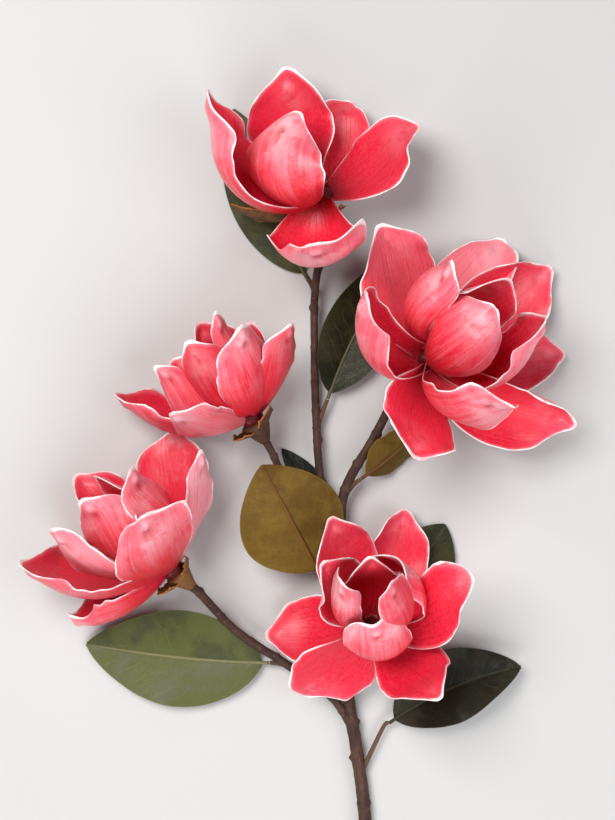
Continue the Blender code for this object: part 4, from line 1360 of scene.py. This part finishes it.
# how each leaf is coloured: its blade, the other half of it, its patches, its rib, and how rough it is
leafFinish = {
    "behind_top": {
        "blade": (0.028, 0.032, 0.008), "half": (0.04, 0.045, 0.012),
        "patch": (0.075, 0.072, 0.018), "rib": (0.13, 0.11, 0.04), "rough": 0.37,
    },
    "behind_right": {
        "blade": (0.01, 0.012, 0.004), "half": (0.016, 0.018, 0.006),
        "patch": (0.035, 0.032, 0.01), "rib": (0.12, 0.11, 0.06), "rough": 0.33,
    },
    "ochre_broad": {
        # its darker half is painted shade
        "blade": (0.125, 0.068, 0.006), "half": (0.1, 0.052, 0.005),
        "patch": (0.175, 0.11, 0.012), "rib": (0.16, 0.07, 0.020), "rough": 0.55,
    },
    "dark_edge": {
        "blade": (0.005, 0.006, 0.003), "half": (0.007, 0.009, 0.004),
        "patch": (0.015, 0.015, 0.006), "rib": (0.03, 0.03, 0.015), "rough": 0.35,
    },
    "ochre_small": {
        "blade": (0.095, 0.052, 0.005), "half": (0.12, 0.07, 0.008),
        "patch": (0.15, 0.095, 0.012), "rib": (0.13, 0.055, 0.02), "rough": 0.55,
    },
    "green_large": {
        "blade": (0.105, 0.115, 0.055), "half": (0.050, 0.058, 0.018),
        "patch": (0.095, 0.105, 0.022), "rib": (0.21, 0.20, 0.10), "rough": 0.31,
    },
    "dark_right": {
        "blade": (0.008, 0.009, 0.005), "half": (0.014, 0.015, 0.008),
        "patch": (0.03, 0.028, 0.015), "rib": (0.04, 0.04, 0.025), "rough": 0.31,
    },
    "dark_small": {
        "blade": (0.016, 0.018, 0.004), "half": (0.022, 0.024, 0.006),
        "patch": (0.035, 0.034, 0.008), "rib": (0.05, 0.05, 0.02), "rough": 0.35,
    },
}

# what all leaves share in their finish
leafPattern = {
    "halves": (0.47, 0.53),  # the blade's two halves are coloured apart, and meet here; the darker half of ochre_broad is painted shade
    "clouds": {"Scale": 34.0, "Contrast": 0.7},
    "cloudStrength": 0.7,
    "grain": {"Scale": 300.0, "Contrast": 0.4},
    "grainStrength": 0.25,
    "grainDark": 0.6,
    # side veins run from the rib forwards to the edge
    "veinPhase": {"along": 11.0, "across": -2.1, "wander": 0.7},
    "veinWidth": 0.055,
    "veinFade": (0.55, 0.98),
    "veinStrength": 0.22,
    "netScale": 520.0,
    "netWidth": 0.09,
    "netStrength": 0.10,
    "ribFade": (0.012, 0.035),
    "ribStrength": 0.9,
    "band": {"Width": 0.3, "Softness": 0.3, "Wander": 0.4},
    "bandStrength": 0.5,
    "bandPaler": (1.6, 0.01),
    "roughGrain": 0.14,
    "relief": {"grain": 0.3, "vein": -0.8, "net": -0.25},
    "bump": (0.0003, 0.7),
    "shader": {"Specular IOR Level": 0.2},
}


def makeLeafMaterial(name):
    look = {**leafPattern, **leafFinish[name]}
    material, tree = newMaterial("leaf_" + name)
    uvMap, u, along = bladeMap(tree)
    across = calc(tree, "ABSOLUTE", less(tree, times(tree, u, 2.0), 1.0))
    spot, seed = objectSpot(tree), mark(tree, "tone")
    clouds = useGroup(tree, clouding, {"Spot": spot, "Seed": seed, **look["clouds"]})
    grain = useGroup(tree, clouding, {"Spot": spot, "Seed": seed, **look["grain"]})
    colour = blendColour(tree, spread(tree, u, *look["halves"]), look["half"], look["blade"])
    colour = tint(tree, colour, look["patch"], clouds, look["cloudStrength"])
    wander = noiseAt(tree, uvMap, scale=6.0, detail=1.0)
    phase = weightedSum(tree, look["veinPhase"], along=along, across=across, wander=wander)
    away = calc(tree, "ABSOLUTE", less(tree, calc(tree, "FRACT", phase), 0.5))
    vein = times(tree, fall(tree, away, 0.0, look["veinWidth"]), fall(tree, across, *look["veinFade"]))
    cells = put(tree, "TexVoronoi", {"Vector": spot, "Scale": look["netScale"]}, feature="DISTANCE_TO_EDGE")
    net = fall(tree, cells.outputs["Distance"], 0.0, look["netWidth"])
    colour = tint(tree, colour, look["patch"], net, look["netStrength"])
    colour = tint(tree, colour, look["rib"], vein, look["veinStrength"])
    darker = tuple(look["grainDark"] * c for c in look["blade"])
    colour = tint(tree, colour, darker, grain, look["grainStrength"])
    rib = calc(tree, "MAXIMUM", fall(tree, across, *look["ribFade"]), mark(tree, "rib"))
    colour = tint(tree, colour, look["rib"], rib, look["ribStrength"])
    band = useGroup(tree, edgeBand, {"Distance": mark(tree, "edge"), "Spot": spot, **look["band"]})
    share, more = look["bandPaler"]
    paler = tuple(share * c + more for c in look["patch"])
    colour = tint(tree, colour, paler, band, look["bandStrength"])
    rough = plus(tree, times(tree, grain, look["roughGrain"]), look["rough"])
    height = weightedSum(tree, look["relief"], grain=grain, vein=vein, net=net)
    finishSurface(tree, look, colour, rough, height)
    return material


woodFinish = {
    "bark": (0.042, 0.012, 0.007),
    "lit": (0.115, 0.045, 0.022),
    "dark": (0.012, 0.004, 0.003),
    "dot": (0.20, 0.11, 0.065),
    "stalk": (0.16, 0.085, 0.04),
    "patches": {"Scale": 70.0, "Contrast": 0.6},
    "patchStrength": 0.75,
    "grain": {"Scale": 480.0, "Contrast": 0.5},
    "grainStrength": 0.30,
    "lines": {"Across": 22.0, "Along": 0.12, "Sharpness": 0.6},
    "lineStrength": 0.45,
    "dotScale": 210.0,
    "dotFade": (0.10, 0.20),
    "dotStrength": 0.55,
    "stalkStrength": 0.7,
    "rough": 0.62,
    "relief": {"grain": 0.5, "dots": 0.6, "lines": -0.8},
    "bump": (0.0005, 1.0),
    "shader": {},
}


def makeWoodMaterial():
    look = woodFinish
    material, tree = newMaterial("bark")
    uvMap, _, _ = bladeMap(tree)
    spot, seed = objectSpot(tree), mark(tree, "tone")
    patches = useGroup(tree, clouding, {"Spot": spot, "Seed": seed, **look["patches"]})
    grain = useGroup(tree, clouding, {"Spot": spot, "Seed": seed, **look["grain"]})
    lines = useGroup(tree, fibreLines, {"Map": uvMap, "Seed": seed, **look["lines"]})
    colour = tint(tree, look["bark"], look["lit"], patches, look["patchStrength"])
    colour = tint(tree, colour, look["dark"], lines, look["lineStrength"])
    colour = tint(tree, colour, look["dark"], grain, look["grainStrength"])
    cells = put(tree, "TexVoronoi", {"Vector": spot, "Scale": look["dotScale"]}).outputs["Distance"]
    dots = fall(tree, cells, *look["dotFade"])
    colour = tint(tree, colour, look["dot"], dots, look["dotStrength"])
    colour = tint(tree, colour, look["stalk"], mark(tree, "stalk"), look["stalkStrength"])
    height = weightedSum(tree, look["relief"], grain=grain, dots=dots, lines=lines)
    finishSurface(tree, look, colour, look["rough"], height)
    return material


calyxFinish = {
    "cup": (0.060, 0.020, 0.006),
    "lit": (0.23, 0.092, 0.018),
    "edge": (0.46, 0.16, 0.022),
    "dark": (0.020, 0.008, 0.004),
    "lighter": {"top": 0.15, "right": 0.1, "far_left": -0.3, "left": 0.9, "front": 0.1},
    "patches": {"Scale": 110.0, "Contrast": 0.5},
    "patchStrength": 0.8,
    "grain": {"Scale": 620.0, "Contrast": 0.5},
    "grainStrength": 0.35,
    "band": {"Width": 0.8, "Softness": 0.5, "Wander": 0.8},
    "bandStrength": 0.85,
    "rough": 0.62,
    "relief": {"grain": 0.6, "patches": 0.5},
    "bump": (0.0005, 1.0),
    "shader": {},
}


def makeCalyxMaterial(name):
    look = calyxFinish
    material, tree = newMaterial("calyx_" + name)
    spot, seed = objectSpot(tree), mark(tree, "tone")
    patches = useGroup(tree, clouding, {"Spot": spot, "Seed": seed, **look["patches"]})
    grain = useGroup(tree, clouding, {"Spot": spot, "Seed": seed, **look["grain"]})
    lit = plus(tree, times(tree, patches, look["patchStrength"]), look["lighter"][name])
    colour = tint(tree, look["cup"], look["lit"], lit)
    colour = tint(tree, colour, look["dark"], grain, look["grainStrength"])
    band = useGroup(tree, edgeBand, {"Distance": mark(tree, "edge"), "Spot": spot, **look["band"]})
    colour = tint(tree, colour, look["edge"], band, look["bandStrength"])
    height = weightedSum(tree, look["relief"], grain=grain, patches=patches)
    finishSurface(tree, look, colour, look["rough"], height)
    return material


coneFinish = {
    "cone": (0.07, 0.004, 0.006),
    "stamen": (0.42, 0.03, 0.045),
    "tip": (0.70, 0.30, 0.26),
    "tipRise": (0.5, 1.0),
    "grain": {"Scale": 500.0, "Contrast": 0.5},
    "grainStrength": 0.3,
    "rough": 0.55,
    "bump": (0.0003, 1.0),
    "shader": {},
}


def makeConeMaterial():
    look = coneFinish
    material, tree = newMaterial("cone")
    _, _, along = bladeMap(tree)
    inSpace = {"Spot": objectSpot(tree), "Seed": mark(tree, "tone")}
    grain = useGroup(tree, clouding, {**inSpace, **look["grain"]})
    stamen = blendColour(tree, spread(tree, along, *look["tipRise"]), look["stamen"], look["tip"])
    colour = blendColour(tree, mark(tree, "face"), look["cone"], stamen)
    colour = tint(tree, colour, look["cone"], grain, look["grainStrength"])
    finishSurface(tree, look, colour, look["rough"], grain)
    return material


# pieces are numbered so that each has random draws of its own
firstSeed = {"bloom": (100, 20), "calyx": (300, 5), "cone": (400, 1), "leaf": (500, 1), "stem": 600}


def seedOf(kind, number):
    first, step = firstSeed[kind]
    return first + step * number


petalMaterial = makePetalMaterial()
coneMaterial = makeConeMaterial()
for number, (name, bloom) in enumerate(blooms.items()):
    makeBloom(name, bloom, petalMaterial, seedOf("bloom", number))
    makeCalyx(name, bloom, makeCalyxMaterial(name), seedOf("calyx", number))
    makeCone(name, bloom, coneMaterial, seedOf("cone", number))
print("blooms made")
for number, (name, leaf) in enumerate(leaves.items()):
    makeLeaf(name, leaf, makeLeafMaterial(name), seedOf("leaf", number))
print("leaves made")
makeStem(makeWoodMaterial(), firstSeed["stem"])
print("stem made")

studio = {
    "floor": (0.54, 0.535, 0.53),
    "floorHalf": 6.0,
    "floorRough": 0.75,
    "key": {"place": (-0.55, 0.55, 1.35), "size": 0.9, "power": 24.0, "colour": (1.0, 0.98, 0.96)},
    "fill": {"place": (0.95, -0.25, 1.1), "size": 1.2, "power": 9.0, "colour": (0.96, 0.98, 1.0)},
    "low": {"place": (-0.2, -1.2, 0.9), "size": 1.0, "power": 13.0, "colour": (1.0, 1.0, 1.0)},
    "aim": (0.0, 0.0, 0.05),
    "world": (0.75, 0.77, 0.80),
    "worldStrength": 0.24,
    "camera": (0.0059, 0.0723, 1.060),
    "lens": 64.6,
    "sensor": 36.0,
}


def addObject(name, data, place=(0.0, 0.0, 0.0)):
    made = bpy.data.objects.new(name, data)
    made.location = place
    bpy.context.scene.collection.objects.link(made)
    return made


def makeFloor():
    mesh = bpy.data.meshes.new("floor")
    half = studio["floorHalf"]
    corners = [(-half, -half, 0.0), (half, -half, 0.0), (half, half, 0.0), (-half, half, 0.0)]
    mesh.from_pydata(corners, [], [(0, 1, 2, 3)])
    material, tree = newMaterial("floor")
    inputs = {"Base Color": rgba(studio["floor"]), "Roughness": studio["floorRough"]}
    fill(tree, tree.nodes["Principled BSDF"], inputs)
    mesh.materials.append(material)
    floor = addObject("floor", mesh)


def makeLight(name, look):
    light = bpy.data.lights.new(name, "AREA")
    light.shape = "DISK"
    light.size = look["size"]
    light.energy = look["power"]
    light.color = look["colour"]
    lamp = addObject(name, light, look["place"])
    aim = Vector(studio["aim"]) - lamp.location
    lamp.rotation_euler = aim.to_track_quat("-Z", "Y").to_euler()


def makeCamera():
    camera = bpy.data.cameras.new("camera")
    camera.lens = studio["lens"]
    camera.sensor_width = studio["sensor"]
    bpy.context.scene.camera = addObject("camera", camera, studio["camera"])


def makeWorld():
    world = bpy.data.worlds.new("studio")
    bpy.context.scene.world = world
    world.use_nodes = True
    inputs = {0: rgba(studio["world"]), 1: studio["worldStrength"]}
    fill(world.node_tree, world.node_tree.nodes["Background"], inputs)


makeFloor()
for name in ("key", "fill", "low"):
    makeLight(name, studio[name])
makeCamera()
makeWorld()
bpy.context.scene.view_settings.view_transform = "Standard"
print("studio set")
